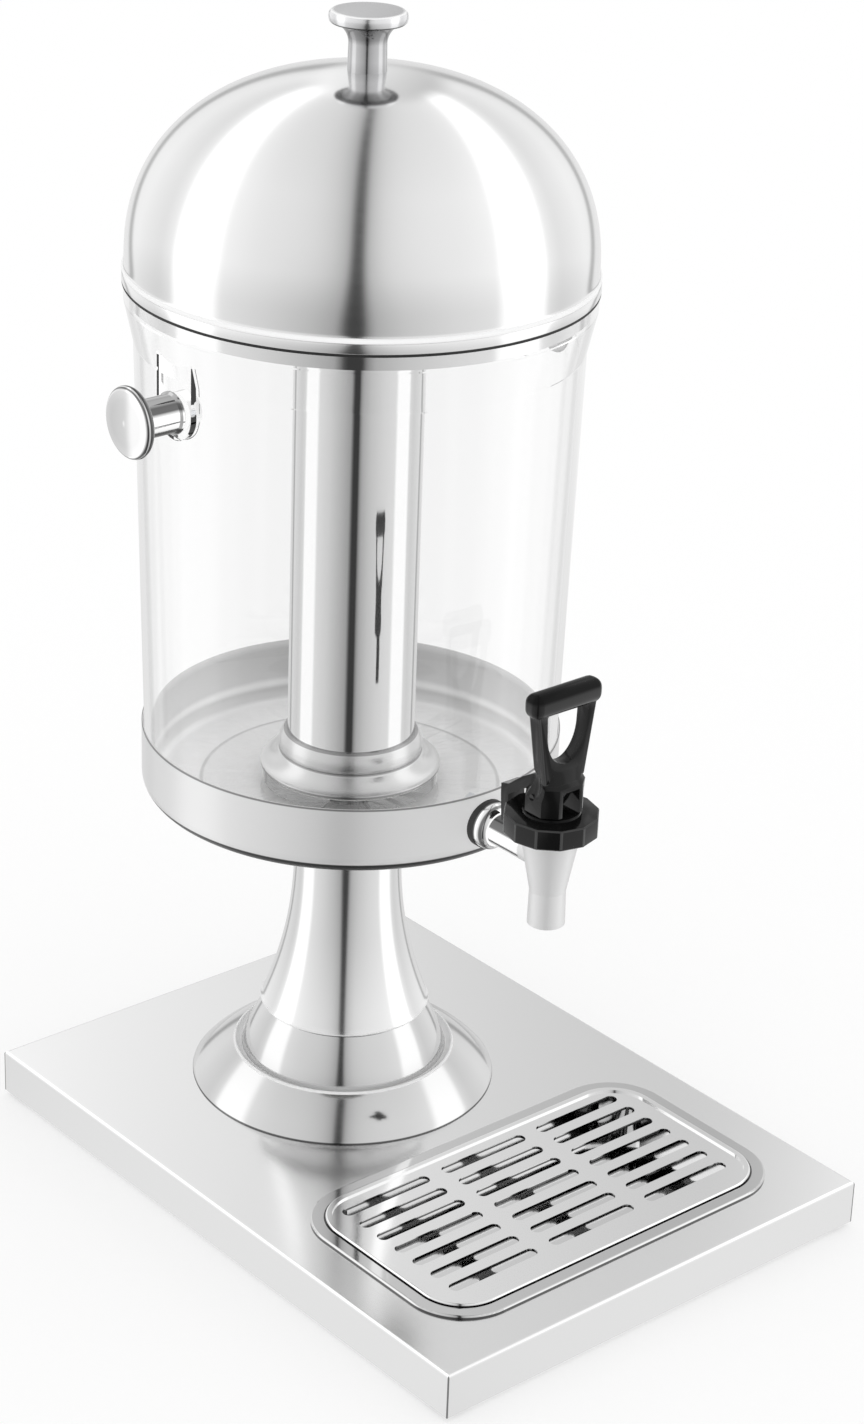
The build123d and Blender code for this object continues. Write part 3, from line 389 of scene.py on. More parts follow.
def foot_steel(finish):
    """Polished foot with a painted highlight on its step's rolled edge, painted shadow in its groove and round its
    rim, and painted matt grey low on its collar.
    """
    material, tree, shader = node_tree("polished_pedestal_foot")
    bottom, top = heights("pedestal_foot")
    rise, far = height(tree), from_pedestal(tree)
    steel = finish.steel_colour[0] * FOOT_TONE
    tier = along(tree, far, FOOT_TIER)
    plain = shifted(bottom, FOOT_RIM_SHADOW, steel) + [(top + MARGIN, steel)]
    groove_shadow = lined(plain, bottom + FOOT_GROOVE_SHADOW[0], bottom + FOOT_GROOVE_SHADOW[1], FOOT_GROOVE_SHADOW_BLUR, steel * FOOT_GROOVE_SHADOW_TONE)
    colour = blended(tree, tier, along(tree, rise, groove_shadow), along(tree, rise, plain))
    low = along(tree, rise, shifted(bottom, FOOT_PAINTED_GREY) + [(top + MARGIN, 0.0)])
    painted_grey = calculate(tree, "MULTIPLY", low, calculate(tree, "SUBTRACT", 1.0, tier))
    # The painted highlight and the painted grey are matt, not metal
    pale = along(tree, far, FOOT_PAINTED_HIGHLIGHT)
    greyed = blended(tree, painted_grey, colour, FOOT_PAINTED_GREY_TONE)
    metallic = between(tree, calculate(tree, "MAXIMUM", pale, painted_grey), 1.0, 0.0)
    dress(tree, shader, blended(tree, pale, greyed, PAINTED_HIGHLIGHT_LEVEL), metallic)
    worked(tree, shader, finish.foot_roughness, TURNED)
    return material


# The stem by height above its lower edge: shadow painted as a dark line, then a highlight painted pale on its rolled
# edge
STEM_SHADOW_LINE = ((-1.0, 0.3), (0.4, 0.3), (0.6, 1.0), (200.0, 1.0))
STEM_PAINTED_HIGHLIGHT = ((-1.0, 0.0), (0.4, 0.0), (0.5, 0.8), (1.0, 0.8), (1.2, 0.0), (200.0, 0.0))


def stem_steel(finish):
    """Polished trumpet with shadow painted as a dark line and a highlight painted on the rolled edge at its foot."""
    bottom = heights("pedestal_stem")[0]
    return spun_steel("polished_pedestal_stem", finish.steel_colour, shifted(bottom, STEM_SHADOW_LINE),
                      finish.lid_roughness, shifted(bottom, STEM_PAINTED_HIGHLIGHT))


# The cup's bend: its radius, and where its outer skin begins across it
CUP_BEND, CUP_SKIN = 9.0, ((0.0, 0.0), (8.5, 0.0), (8.7, 1.0), (11.0, 1.0))
# Its outside by height above its lowest point, with shadow painted near-black along its bottom edge, and from its rim
CUP_FOOT_SHADOW, CUP_RIM = ((-1.0, 0.02), (5.4, 0.02), (6.0, 0.77)), ((-1.0, 0.77), (-0.7, 0.25), (1.0, 0.25))
# Its inside: rings on its floor by distance from the axis, and bands on its wall by height as above, which paint a
# highlight along the upper bend and shade below and above it
CUP_RINGS, CUP_WALL_TONE = ((0.0, 0.84), (71.8, 0.84), (72.5, 0.55), (73.5, 0.55), (74.2, 0.9)), 0.8
CUP_PAINTED_BANDS = ((1.5, 1.0), (4.0, 0.72), (9.0, 0.72), (11.0, 1.12), (12.5, 1.12), (15.0, 0.78))
CUP_RIM_BANDS = ((-4.0, 0.66), (-1.0, 0.85))
CUP_INSIDE_METAL, CUP_OUTSIDE_METAL, CUP_INSIDE_ROUGHNESS = 0.3, 0.5, 0.4


def cup_steel(finish):
    """Satin cup: an even outside with shadow painted along its bottom edge, and a paler inside that scatters the
    light in the tank, with a painted highlight and painted shade round its bend.
    """
    material, tree, shader = node_tree("satin_steel_cup")
    low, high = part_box("steel_cup")
    wall = (high.x - low.x) / 2 / MM
    bottom, top = heights("steel_cup")
    rise, far = height(tree), from_pedestal(tree)
    aside = calculate(tree, "MAXIMUM", calculate(tree, "SUBTRACT", far, (wall - CUP_BEND) * MM), 0.0)
    below = calculate(tree, "MAXIMUM", calculate(tree, "SUBTRACT", (bottom + CUP_BEND) * MM, rise), 0.0)
    outside = along(tree, slant(tree, aside, below), CUP_SKIN)
    rings = along(tree, far, [*CUP_RINGS, (wall + MARGIN, CUP_WALL_TONE)])
    bands = along(tree, rise, shifted(bottom, CUP_PAINTED_BANDS) + shifted(top, CUP_RIM_BANDS))
    skin = along(tree, rise, shifted(bottom, CUP_FOOT_SHADOW) + shifted(top, CUP_RIM))
    colour = blended(tree, outside, calculate(tree, "MULTIPLY", rings, bands), skin)
    dress(tree, shader, colour, between(tree, outside, CUP_INSIDE_METAL, CUP_OUTSIDE_METAL))
    worked(tree, shader, between(tree, outside, CUP_INSIDE_ROUGHNESS, finish.cup_roughness), CUP_TURNED)
    return material


# The base's skirts: their tone, painted darker than the top as shade, and how far below the top its bend ends and
# begins
SKIRT_SHADE, SKIRT_BEND = 0.62, (0.8, 0.4)
# The seams at its corners: where they begin, and their tone
SEAM_X, SEAM_Y, SEAM_TONE = 129.4, 175.4, 0.15


def satin_steel(finish):
    """Satin sheet with a fine brushed grain along its length, skirts painted darker as shade, and dark seams at its
    corners.
    """
    material, tree, shader = node_tree("satin_steel_sheet")
    top = heights("base_pan")[1]
    flat = finish.satin_colour[0]
    tone = along(tree, height(tree), ((0.0, SKIRT_SHADE), (top - SKIRT_BEND[0], SKIRT_SHADE),
                                      (top - SKIRT_BEND[1], flat), (top + MARGIN, flat)))
    across = calculate(tree, "ABSOLUTE", measure(tree, ACROSS))
    deep = calculate(tree, "ABSOLUTE", measure(tree, BACK))
    corner = calculate(tree, "MULTIPLY", calculate(tree, "GREATER_THAN", across, SEAM_X * MM),
                       calculate(tree, "GREATER_THAN", deep, SEAM_Y * MM))
    dress(tree, shader, blended(tree, corner, tone, SEAM_TONE))
    worked(tree, shader, finish.satin_roughness, BRUSHED)
    return material


# Tones of the tray and the grate by height from their upper edge: shadow painted as a dark band in the tray's gap
# round the grate, and shade painted on the grate below its top face
TRAY_TONES = ((-30.0, 0.86), (-5.4, 0.86), (-5.0, 0.12), (-0.9, 0.12), (-0.7, 0.76), (1.0, 0.76))
GRATE_TONES, GRATE_ROUGHNESS = ((-20.0, 0.2), (-1.5, 0.2), (-1.25, 1.0), (1.0, 1.0)), 0.1


def tray_steel(finish):
    """Polished tray with shadow painted as a dark band inside its flange."""
    rim = heights("drip_tray")[1]
    return spun_steel("polished_drip_tray", finish.steel_colour, shifted(rim, TRAY_TONES), finish.polish_roughness)


def grate_steel(finish):
    """Bright rolled grate, polished nearly to a mirror, with shade painted dark below its top face."""
    top = heights("drip_grate")[1]
    return spun_steel("polished_drip_grate", finish.grate_colour, shifted(top, GRATE_TONES), GRATE_ROUGHNESS)


# The tube's base by height above its lower edge and from its upper one, with shade painted dark along both edges, and
# a dark line round its middle
TUBE_BASE_FOOT_SHADE, TUBE_BASE_TOP_SHADE = ((-1.0, 0.35), (0.9, 0.35), (1.2, 0.8)), ((-1.0, 0.8), (-0.7, 0.4), (1.0, 0.4))
TUBE_LINE_SHARE, TUBE_LINE_HALF, TUBE_LINE_BLUR, TUBE_LINE_TONE = 0.45, 0.4, 0.2, 0.4
TUBE_BASE_ROUGHNESS = 0.26


def satin_turned(finish):
    """Turned steel left with a soft satin, with shade painted along its edges and a dark line round its middle, as on
    the ice tube's base.
    """
    bottom, top = heights("ice_tube_base")
    middle = bottom + TUBE_LINE_SHARE * (top - bottom)
    tones = lined(shifted(bottom, TUBE_BASE_FOOT_SHADE) + shifted(top, TUBE_BASE_TOP_SHADE), middle - TUBE_LINE_HALF,
                  middle + TUBE_LINE_HALF, TUBE_LINE_BLUR, TUBE_LINE_TONE)
    return spun_steel("satin_turned_steel", finish.steel_colour, tones, TUBE_BASE_ROUGHNESS)


# The lid's knob: its height, and its tone, roughness and pale edge by height above the lid
KNOB_TALL = 27.5
# Its tones paint shade as a dark band under the disc and a highlight on the disc's rim; its pale edge is a highlight
# painted round the top face
KNOB_TONES = ((-2.0, 0.55), (0.3, 0.58), (5.0, 0.68), (12.5, 0.66), (15.0, 0.42), (20.5, 0.32), (20.7, 0.2),
              (21.4, 0.12), (21.9, 0.12), (22.2, 0.84), (26.7, 0.95), (26.8, 0.64), (28.5, 0.64))
KNOB_ROUGHNESS = ((-2.0, 0.14), (21.0, 0.14), (22.0, 0.17), (26.6, 0.17), (26.8, 0.35), (28.5, 0.35))
KNOB_PAINTED_HIGHLIGHT = ((-2.0, 0.0), (26.25, 0.0), (26.35, 1.0), (26.65, 1.0), (26.75, 0.0), (28.5, 0.0))


def knob_chrome(finish):
    """Bright plating on the lid's knob, with shade painted dark under its disc, highlights painted on its rim and
    round its face, and satin on top.
    """
    foot = heights("lid_knob")[1] - KNOB_TALL
    return spun_steel("satin_chrome_knob", finish.chrome_colour,
                      *(shifted(foot, stops) for stops in (KNOB_TONES, KNOB_ROUGHNESS, KNOB_PAINTED_HIGHLIGHT)))


# The side knobs: their stems by height above their axis, and their discs by distance from the disc's back
# Reflections are painted on them as dark and bright bands along the stems and lines round the discs
SIDE_REFLECTION_BANDS = ((-12.0, 0.5), (-8.6, 0.5), (-7.4, 0.12), (-5.2, 0.12), (-4.4, 0.95), (-0.5, 1.0), (2.6, 0.9),
              (3.6, 0.5), (4.4, 0.12), (6.6, 0.16), (7.6, 0.5), (12.0, 0.6))
SIDE_REFLECTION_LINES = ((-1.0, 0.3), (1.6, 0.3), (2.0, 0.1), (2.9, 0.1), (3.2, 0.95), (3.6, 0.95), (3.8, 0.2), (4.2, 0.2),
              (4.5, 1.0), (4.8, 0.95), (5.1, 0.88), (6.0, 0.88))
SIDE_DISC, SIDE_ROUGHNESS = 5.5, 0.06
# The tap: where its shank begins behind its front, and the shank by height above its axis, with reflections painted
# on it as dark and bright bands
SHANK = ((0.0, 0.0), (28.0, 0.0), (29.0, 1.0), (80.0, 1.0))
SHANK_REFLECTION_BANDS = ((-12.0, 0.1), (-6.6, 0.1), (-6.0, 0.9), (-4.2, 0.95), (-3.7, 0.12), (-3.0, 0.12), (-2.4, 1.0),
               (2.6, 0.95), (3.6, 0.15), (7.0, 0.12), (12.0, 0.4))
SPOUT_TONE, SPOUT_METAL, SPOUT_ROUGHNESS, SHANK_ROUGHNESS = 0.9, 0.6, 0.5, 0.05
# The tap's escutcheon by share of its depth from front to back, with reflections painted as dark and bright lines
# round its rim
RING_REFLECTION_LINES = ((-0.2, 0.95), (0.15, 0.95), (0.25, 0.25), (0.4, 0.25), (0.5, 1.0), (0.8, 0.9), (0.9, 0.12),
              (1.2, 0.12))
RING_ROUGHNESS = 0.05


def side_chrome(finish):
    """Bright plating on the side knobs, with reflections painted as dark bands along their stems and dark lines round
    their discs.
    """
    material, tree, shader = node_tree("bright_chrome_side_knob")
    axis = sum(heights("side_knob_right")) / 2
    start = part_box("side_knob_right")[1].x / MM - SIDE_DISC
    bright = finish.chrome_colour[0]
    outward = calculate(tree, "ABSOLUTE", measure(tree, ACROSS))
    stem = along(tree, height(tree), shifted(axis, SIDE_REFLECTION_BANDS, bright))
    disc = along(tree, outward, shifted(start, SIDE_REFLECTION_LINES, bright))
    on_disc = calculate(tree, "GREATER_THAN", outward, (start - MARGIN) * MM)
    dress(tree, shader, blended(tree, on_disc, stem, disc))
    worked(tree, shader, SIDE_ROUGHNESS, PLATED)
    return material


def satin_chrome(finish):
    """Bright plating on the shank, with reflections painted as dark bands along it, that turns satin on the barrel
    and the spout.
    """
    material, tree, shader = node_tree("satin_chrome_tap")
    bright = finish.chrome_colour[0]
    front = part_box("tap_body")[0].y / MM
    axis = sum(heights("tap_escutcheon")) / 2
    shank = along(tree, measure(tree, BACK), shifted(front, SHANK))
    bands = along(tree, height(tree), shifted(axis, SHANK_REFLECTION_BANDS, bright))
    colour = blended(tree, shank, bright * SPOUT_TONE, bands)
    dress(tree, shader, colour, between(tree, shank, SPOUT_METAL, 1.0))
    worked(tree, shader, between(tree, shank, SPOUT_ROUGHNESS, SHANK_ROUGHNESS), PLATED)
    return material


def ring_chrome(finish):
    """Bright plating on the tap's escutcheon, with reflections painted as dark lines round its rim."""
    material, tree, shader = node_tree("bright_chrome_escutcheon")
    low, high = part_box("tap_escutcheon")
    front, deep = low.y / MM, (high.y - low.y) / MM
    lines = [(front + share * deep, finish.chrome_colour[0] * level) for share, level in RING_REFLECTION_LINES]
    dress(tree, shader, along(tree, measure(tree, BACK), lines))
    worked(tree, shader, RING_ROUGHNESS, PLATED)
    return material


ZINC_ROUGHNESS = 0.35


def zinc_steel(finish, name):
    """Plain plated fasteners and spring wire."""
    return metal(name, finish.zinc_colour, ZINC_ROUGHNESS, GALVANISED)


# Dark refraction painted on the tank at the pad behind the left knob, by distance from its middle: its edge, and its
# wider edge towards the back
PAD_EDGE = ((12.0, 0.0), (12.7, 0.0), (12.8, 1.0), (13.1, 1.0), (13.2, 0.0), (14.0, 0.0))
PAD_FAR_EDGE = ((10.0, 0.0), (11.2, 0.0), (11.3, 1.0), (13.1, 1.0), (13.2, 0.0), (14.0, 0.0))
# How far out it begins and how far up it goes, and the grain that breaks its edge: how fine and from what level
PAD_REACH, PAD_TOP, PAD_GRAIN, PAD_BREAK = 95.0, 24.0, 160.0, 0.42


def painted_pad_refraction(tree):
    """One where dark refraction is painted on the upright and rounded edges of the pad behind the left knob, broken
    by a coarse grain.
    """
    axis = sum(heights("side_knob_right")) / 2
    aside = calculate(tree, "SUBTRACT", measure(tree, BACK), PEDESTAL_AXIS_Y)
    rise = calculate(tree, "SUBTRACT", height(tree), axis * MM)
    far = slant(tree, aside, calculate(tree, "MINIMUM", rise, 0.0))
    wide = calculate(tree, "MULTIPLY", along(tree, far, PAD_FAR_EDGE),
                     calculate(tree, "GREATER_THAN", aside, 0.0))
    band = calculate(tree, "MAXIMUM", along(tree, far, PAD_EDGE), wide)
    outward = measure(tree, (-1.0, 0.0, 0.0))
    outside = calculate(tree, "MULTIPLY", calculate(tree, "GREATER_THAN", outward, PAD_REACH * MM),
                        calculate(tree, "LESS_THAN", rise, PAD_TOP * MM))
    broken = calculate(tree, "GREATER_THAN", grain(tree, EVEN, PAD_GRAIN), PAD_BREAK)
    return calculate(tree, "MULTIPLY", band, calculate(tree, "MULTIPLY", outside, broken))


# Index of refraction of the tank, and how often a ray is turned before it goes straight on
CLEAR_IOR, CLEAR_BENDS = 1.49, 3.5


def clear_plastic(finish):
    """Clear moulded plastic that lets the studio's light through."""
    material, tree, shader = node_tree("clear_moulded_plastic")
    # The refraction at the left pad's walls is painted on the clear plastic as black lines
    dress(tree, shader, blended(tree, painted_pad_refraction(tree), finish.clear_colour[0], 0.0), 0.0)
    shader.inputs["Transmission Weight"].default_value = 1.0
    shader.inputs["IOR"].default_value = CLEAR_IOR
    shader.inputs["Roughness"].default_value = 0.0
    path = add_node(tree, "ShaderNodeLightPath")
    deep = calculate(tree, "GREATER_THAN", path.outputs["Ray Depth"], CLEAR_BENDS)
    straight = calculate(tree, "MAXIMUM", path.outputs["Is Diffuse Ray"], deep)
    straight = calculate(tree, "MAXIMUM", path.outputs["Is Shadow Ray"], straight)
    through = add_node(tree, "ShaderNodeBsdfTransparent").outputs["BSDF"]
    surface = mixed(tree, straight, shader.outputs["BSDF"], through)
    tree.links.new(surface, tree.nodes["Material Output"].inputs["Surface"])
    return material


# Attribute of the faces that rounding makes, the index that marks them, and the level of the highlight painted on
# them
ROUNDED, ROUNDED_INDEX, EDGE_GLINT = "rounded_edge", 1, 0.05
# Gloss of moulded plastic where it is even, and its roughness
EVEN_GLOSS, MOULDED_ROUGHNESS = 0.3, 0.11
# Gloss of the bonnet by height from its top, and of the handle by height from the top of its grip
BONNET_GLOSS = ((-20.0, 0.36), (-0.9, 0.36), (-0.5, 0.12), (5.0, 0.12))
HANDLE_GLOSS = ((-80.0, 0.26), (-40.0, 0.2), (-14.0, 0.16), (-10.0, 0.4), (-4.5, 0.36), (-3.0, 0.08), (2.0, 0.08))


def moulded_black(finish, name, gloss=None):
    """Glossy black plastic with a faint moulding texture and a highlight painted paler on its rounded edges, whose
    gloss may change with height.
    """
    material, tree, shader = node_tree(name)
    rounded = add_node(tree, "ShaderNodeAttribute", attribute_name=ROUNDED).outputs["Fac"]
    dress(tree, shader, blended(tree, rounded, finish.black_colour[0], EDGE_GLINT), 0.0)
    shader.inputs["Specular IOR Level"].default_value = EVEN_GLOSS
    if gloss:
        tree.links.new(along(tree, height(tree), gloss), shader.inputs["Specular IOR Level"])
    bump(tree, shader, worked(tree, shader, MOULDED_ROUGHNESS, MOULDED), *MOULDED_BUMP)
    return material


RUBBER_ROUGHNESS, SILICONE_ROUGHNESS = 0.6, 0.45


def soft_seal(name, colour, roughness):
    """Rubber or silicone with a matt skin."""
    material, tree, shader = node_tree(name)
    dress(tree, shader, (*colour, 1.0), 0.0)
    bump(tree, shader, worked(tree, shader, roughness, SKIN), *SKIN_BUMP)
    return material


def paint(material, *names):
    """Give CAD nodes a material."""
    for name in names:
        for slot in nodes[name].material_slots:
            slot.material = material


# Broad pieces that the polished steel round them doesn't mirror, as in a light tent, and small ones near them
UNMIRRORED = (
    "steel_cup", "tank_support_plate", "container", "ice_tube_spacer", "lid_dome", "lid_seat_ring",
    "ice_tube_stud", "locating_spigot", "tie_rod", "tie_rod_nuts", "tie_rod_washers", "tap_lock_nut",
    "tap_inner_washer", "lid_knob_screw", "lid_knob_washer", "side_knob_studs", "side_knob_washers", "tap_body",
    "tap_escutcheon", "tap_outer_washer", "side_knob_left", "side_knob_right", "valve_stem", "valve_seat_cup",
    "handle_pin")


class DISPENSER_OT_steel(bpy.types.Operator):
    """Finish the ice tube, cup, drip tray, grate and base in steel, and say what the steel mirrors"""

    bl_idname = "dispenser.steel"
    bl_label = "Steel parts"

    def execute(self, context):
        finish = context.scene.dispenser_finish
        paint(polished_steel(finish), "lid_seat_ring", "ice_tube")
        paint(satin_turned(finish), "ice_tube_base")
        # The support plate lies below the cup's bottom, so it takes the cup's painted shadow and shows near-black
        paint(cup_steel(finish), "steel_cup", "tank_support_plate")
        paint(tray_steel(finish), "drip_tray")
        paint(grate_steel(finish), "drip_grate")
        paint(satin_steel(finish), "base_pan")
        for name in UNMIRRORED:
            nodes[name].visible_glossy = False
        return {"FINISHED"}


class DISPENSER_OT_tank(bpy.types.Operator):
    """Finish the clear container"""

    bl_idname = "dispenser.tank"
    bl_label = "Clear tank"

    def execute(self, context):
        paint(clear_plastic(context.scene.dispenser_finish), "container", "ice_tube_spacer")
        return {"FINISHED"}


class DISPENSER_OT_fittings(bpy.types.Operator):
    """Finish the tap, knobs, seals and fasteners"""

    bl_idname = "dispenser.fittings"
    bl_label = "Fittings"

    def execute(self, context):
        finish = context.scene.dispenser_finish
        paint(satin_chrome(finish), "tap_body")
        paint(ring_chrome(finish), "tap_escutcheon")
        paint(side_chrome(finish), "side_knob_left", "side_knob_right")
        paint(zinc_steel(finish, "zinc_plated_steel"), "pan_backing_plate", "foot_screws", "foot_nuts", "tie_rod",
              "tie_rod_nuts", "tie_rod_washers", "ice_tube_stud", "locating_spigot", "side_knob_studs",
              "tap_lock_nut", "lid_knob_screw", "lid_knob_washer", "valve_stem")
        paint(moulded_black(finish, "black_moulded_pin"), "handle_pin")
        rubber = soft_seal("black_rubber_skin", finish.rubber_colour, RUBBER_ROUGHNESS)
        paint(rubber, "rubber_feet", "tap_outer_washer")
        silicone = soft_seal("white_silicone_skin", finish.silicone_colour, SILICONE_ROUGHNESS)
        paint(silicone, "ice_tube_gasket", "tap_inner_washer", "valve_seat_cup", "side_knob_washers")
        return {"FINISHED"}


def alone(piece):
    """Select one piece and make it active."""
    bpy.ops.object.select_all(action="DESELECT")
    piece.select_set(True)
    bpy.context.view_layer.objects.active = piece


def settle():
    """Put the place, turn and size of the selected piece in its mesh."""
    bpy.ops.object.transform_apply(location=True, rotation=True, scale=True)


def shape(name, add, **options):
    """Add a primitive with nothing else selected, name it and its mesh, and put its place in its mesh."""
    bpy.ops.object.select_all(action="DESELECT")
    add(**options)
    piece = bpy.context.object
    piece.name = piece.data.name = name
    settle()
    return piece


def block(name, axis, low, high):
    """A box between two corners in millimetres from a point."""
    low, high = axis + Vector(low) * MM, axis + Vector(high) * MM
    return shape(name, bpy.ops.mesh.primitive_cube_add, size=1.0, location=(low + high) / 2, scale=high - low)


def pick(piece, kind, test):
    """Select the vertices, edges or faces of a piece, in edit mode, whose middle or ends pass a test."""
    bpy.ops.object.mode_set(mode="EDIT")
    bpy.ops.mesh.select_mode(type=kind)
    bpy.ops.mesh.select_all(action="DESELECT")
    bpy.ops.object.mode_set(mode="OBJECT")
    mesh = piece.data
    if kind == "VERT":
        for vertex in mesh.vertices:
            vertex.select = test(vertex.co)
    elif kind == "EDGE":
        for edge in mesh.edges:
            edge.select = test(*[mesh.vertices[index].co for index in edge.vertices])
    else:
        for face in mesh.polygons:
            face.select = test(face.center, face.normal)
    bpy.ops.object.mode_set(mode="EDIT")


def draw_out(shift):
    """Extrude what is selected."""
    bpy.ops.mesh.extrude_region_move(TRANSFORM_OT_translate={"value": shift})


def resize(shares, centre):
    """Scale what is selected about a point."""
    bpy.ops.transform.resize(value=shares, center_override=centre)


def face_outward():
    """Turn all faces of the piece in edit mode outwards, and leave edit mode."""
    bpy.ops.mesh.select_all(action="SELECT")
    bpy.ops.mesh.normals_make_consistent(inside=False)
    bpy.ops.object.mode_set(mode="OBJECT")


def modify(piece, kind, **values):
    """Give a piece a modifier and apply it."""
    alone(piece)
    modifier = piece.modifiers.new(kind.lower(), kind)
    for name, value in values.items():
        setattr(modifier, name, value)
    bpy.ops.object.modifier_apply(modifier=modifier.name)


# Edges count as sharp from this angle, and faces as smooth up to the other, in degrees
SHARP, SMOOTH = 35.0, 32.0
# Steps across a rounded edge: a fine one, a plain one and the handle's grip
FINE_STEPS, EDGE_STEPS, GRIP_STEPS = 2, 3, 6


def round_edges(piece, width, segments, angle=SHARP, index=-1):
    """Round all the sharp edges of a piece, with a material index of their own if one is given."""
    modify(piece, "BEVEL", material=index, width=width * MM, segments=segments, limit_method="ANGLE",
           angle_limit=math.radians(angle))


def mark_rounded(piece, width, segments, angle=SHARP):
    """Round the sharp edges of a piece and write the faces that this makes to an attribute, on which its material
    paints a highlight.
    """
    for _ in range(ROUNDED_INDEX + 1):
        piece.data.materials.append(None)
    round_edges(piece, width, segments, angle, ROUNDED_INDEX)
    attributes = piece.data.attributes
    note = attributes.get(ROUNDED) or attributes.new(ROUNDED, "FLOAT", "FACE")
    for face in piece.data.polygons:
        if face.material_index == ROUNDED_INDEX:
            note.data[face.index].value = 1.0


def combine(piece, tool, operation):
    """Add a second shape to a piece or cut it away, and delete the second shape."""
    modify(piece, "BOOLEAN", object=tool, operation=operation, solver="EXACT")
    alone(tool)
    bpy.ops.object.delete()


def spun(name, settings, rings):
    """A turned sheet round the pedestal's axis, from a circle drawn up through rings of radius and height."""
    first, bottom = rings[0]
    shell = shape(name, bpy.ops.mesh.primitive_circle_add, vertices=settings.sides, radius=first,
                  fill_type="NOTHING", location=(0.0, PEDESTAL_AXIS_Y, bottom))
    bpy.ops.object.mode_set(mode="EDIT")
    bpy.ops.mesh.select_all(action="SELECT")
    for (before, low), (radius, high) in zip(rings, rings[1:]):
        draw_out((0.0, 0.0, high - low))
        resize((radius / before, radius / before, 1.0), (0.0, PEDESTAL_AXIS_Y, high))
    face_outward()
    modify(shell, "SOLIDIFY", thickness=settings.sheet, offset=-1.0)
    return shell


def turned(name, settings, outline, bottom):
    """A turned sheet from an outline of radius and height in millimetres that starts at a level."""
    return spun(name, settings, [(radius * MM, bottom + rise * MM) for radius, rise in outline])


def arc(start, end, bulge, steps):
    """Points of a curve that bulges out between two points of an outline."""
    run, climb = end[0] - start[0], end[1] - start[1]
    length = math.hypot(run, climb)
    points = []
    for step in range(1, steps + 1):
        share = step / steps
        push = 4 * bulge * share * (1 - share) / length
        points.append((start[0] + run * share + climb * push, start[1] + climb * share - run * push))
    return points


def finish_piece(piece, material, body, slot, *replaced):
    """Smooth a piece, paint it and tie it to its body."""
    alone(piece)
    bpy.ops.object.shade_smooth_by_angle(angle=math.radians(SMOOTH))
    piece.data.materials.clear()
    piece.data.materials.append(material)
    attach(piece, body)
    if replaced:
        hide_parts(*replaced)


class LidSettings(bpy.types.PropertyGroup):
    """The lid's spun dome."""

    sides: IntProperty(name="Sides", description="Flats round the dome", min=64, default=224)
    rings: IntProperty(name="Rings", description="Steps from the dome's shoulder to its top", min=8, default=44)
    sheet: FloatProperty(name="Sheet", description="Thickness of the lid's sheet", unit="LENGTH", default=0.0008)
    power: FloatProperty(name="Fullness", description="How full the dome's curve is", min=1.0, default=2.25)


# Outline of the lid's rim and rolled bead: height above its lower edge and inset from its radius in millimetres
LID_RIM = ((0.0, 0.2), (0.25, 0.0), (3.7, 0.0), (4.1, 0.2), (4.4, 0.45), (4.7, 0.3), (5.1, 0.05), (5.6, -0.05),
           (6.1, 0.05), (6.6, 0.35), (7.0, 0.8), (7.4, 1.05), (8.2, 1.1), (10.0, 1.1))


class DISPENSER_OT_lid(bpy.types.Operator):
    """Make the lid's smooth dome with its rim and rolled bead"""

    bl_idname = "dispenser.lid"
    bl_label = "Lid dome"

    def execute(self, context):
        settings = context.scene.dispenser_lid
        low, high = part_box("lid_dome")
        rim = (high.x - low.x) / 2
        rings = [(rim - inset * MM, low.z + rise * MM) for rise, inset in LID_RIM]
        radius, shoulder = rings[-1]
        for step in range(1, settings.rings):
            angle = math.pi / 2 * step / settings.rings
            inward, upward = (part ** (2 / settings.power) for part in (math.cos(angle), math.sin(angle)))
            rings.append((radius * inward, shoulder + (high.z - shoulder) * upward))
        dome = spun("lid_shell", settings, rings)
        finish_piece(dome, lid_steel(context.scene.dispenser_finish), "lid", "polished_steel", "lid_dome")
        dome.visible_glossy = False
        return {"FINISHED"}


class SealSettings(bpy.types.PropertyGroup):
    """The black seal under the lid's rim, which also stands in for the shade in the gap below the rim."""

    thickness: FloatProperty(
        name="Thickness", description="Thickness of the seal's band", unit="LENGTH", default=0.0006)
    depth: FloatProperty(
        name="Depth", description="How far the seal hangs below the lid's rim", unit="LENGTH", default=0.0013)
    sides: IntProperty(name="Sides", description="Flats round the seal", min=64, default=256)


# How far the seal stands back from the lid's rim, and the rounding of its edges, in millimetres
SEAL_INSET, SEAL_ROUND = 0.1, 0.15


class DISPENSER_OT_seal(bpy.types.Operator):
    """Make the black seal that shows under the lid's rim and stands in for the shade in the gap there"""

    bl_idname = "dispenser.seal"
    bl_label = "Lid seal"

    def execute(self, context):
        settings = context.scene.dispenser_seal
        low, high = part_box("lid_dome")
        seal = shape("lid_seal_and_shade", bpy.ops.mesh.primitive_cylinder_add, vertices=settings.sides,
                     radius=(high.x - low.x) / 2 - SEAL_INSET * MM, depth=settings.depth,
                     end_fill_type="NOTHING", location=(0.0, PEDESTAL_AXIS_Y, low.z - settings.depth / 2))
        modify(seal, "SOLIDIFY", thickness=settings.thickness, offset=-1.0)
        round_edges(seal, SEAL_ROUND, FINE_STEPS)
        rubber = soft_seal("black_rubber_seal_and_shade", context.scene.dispenser_finish.rubber_colour, RUBBER_ROUGHNESS)
        finish_piece(seal, rubber, "lid", "black_rubber")
        seal.visible_glossy = False
        return {"FINISHED"}


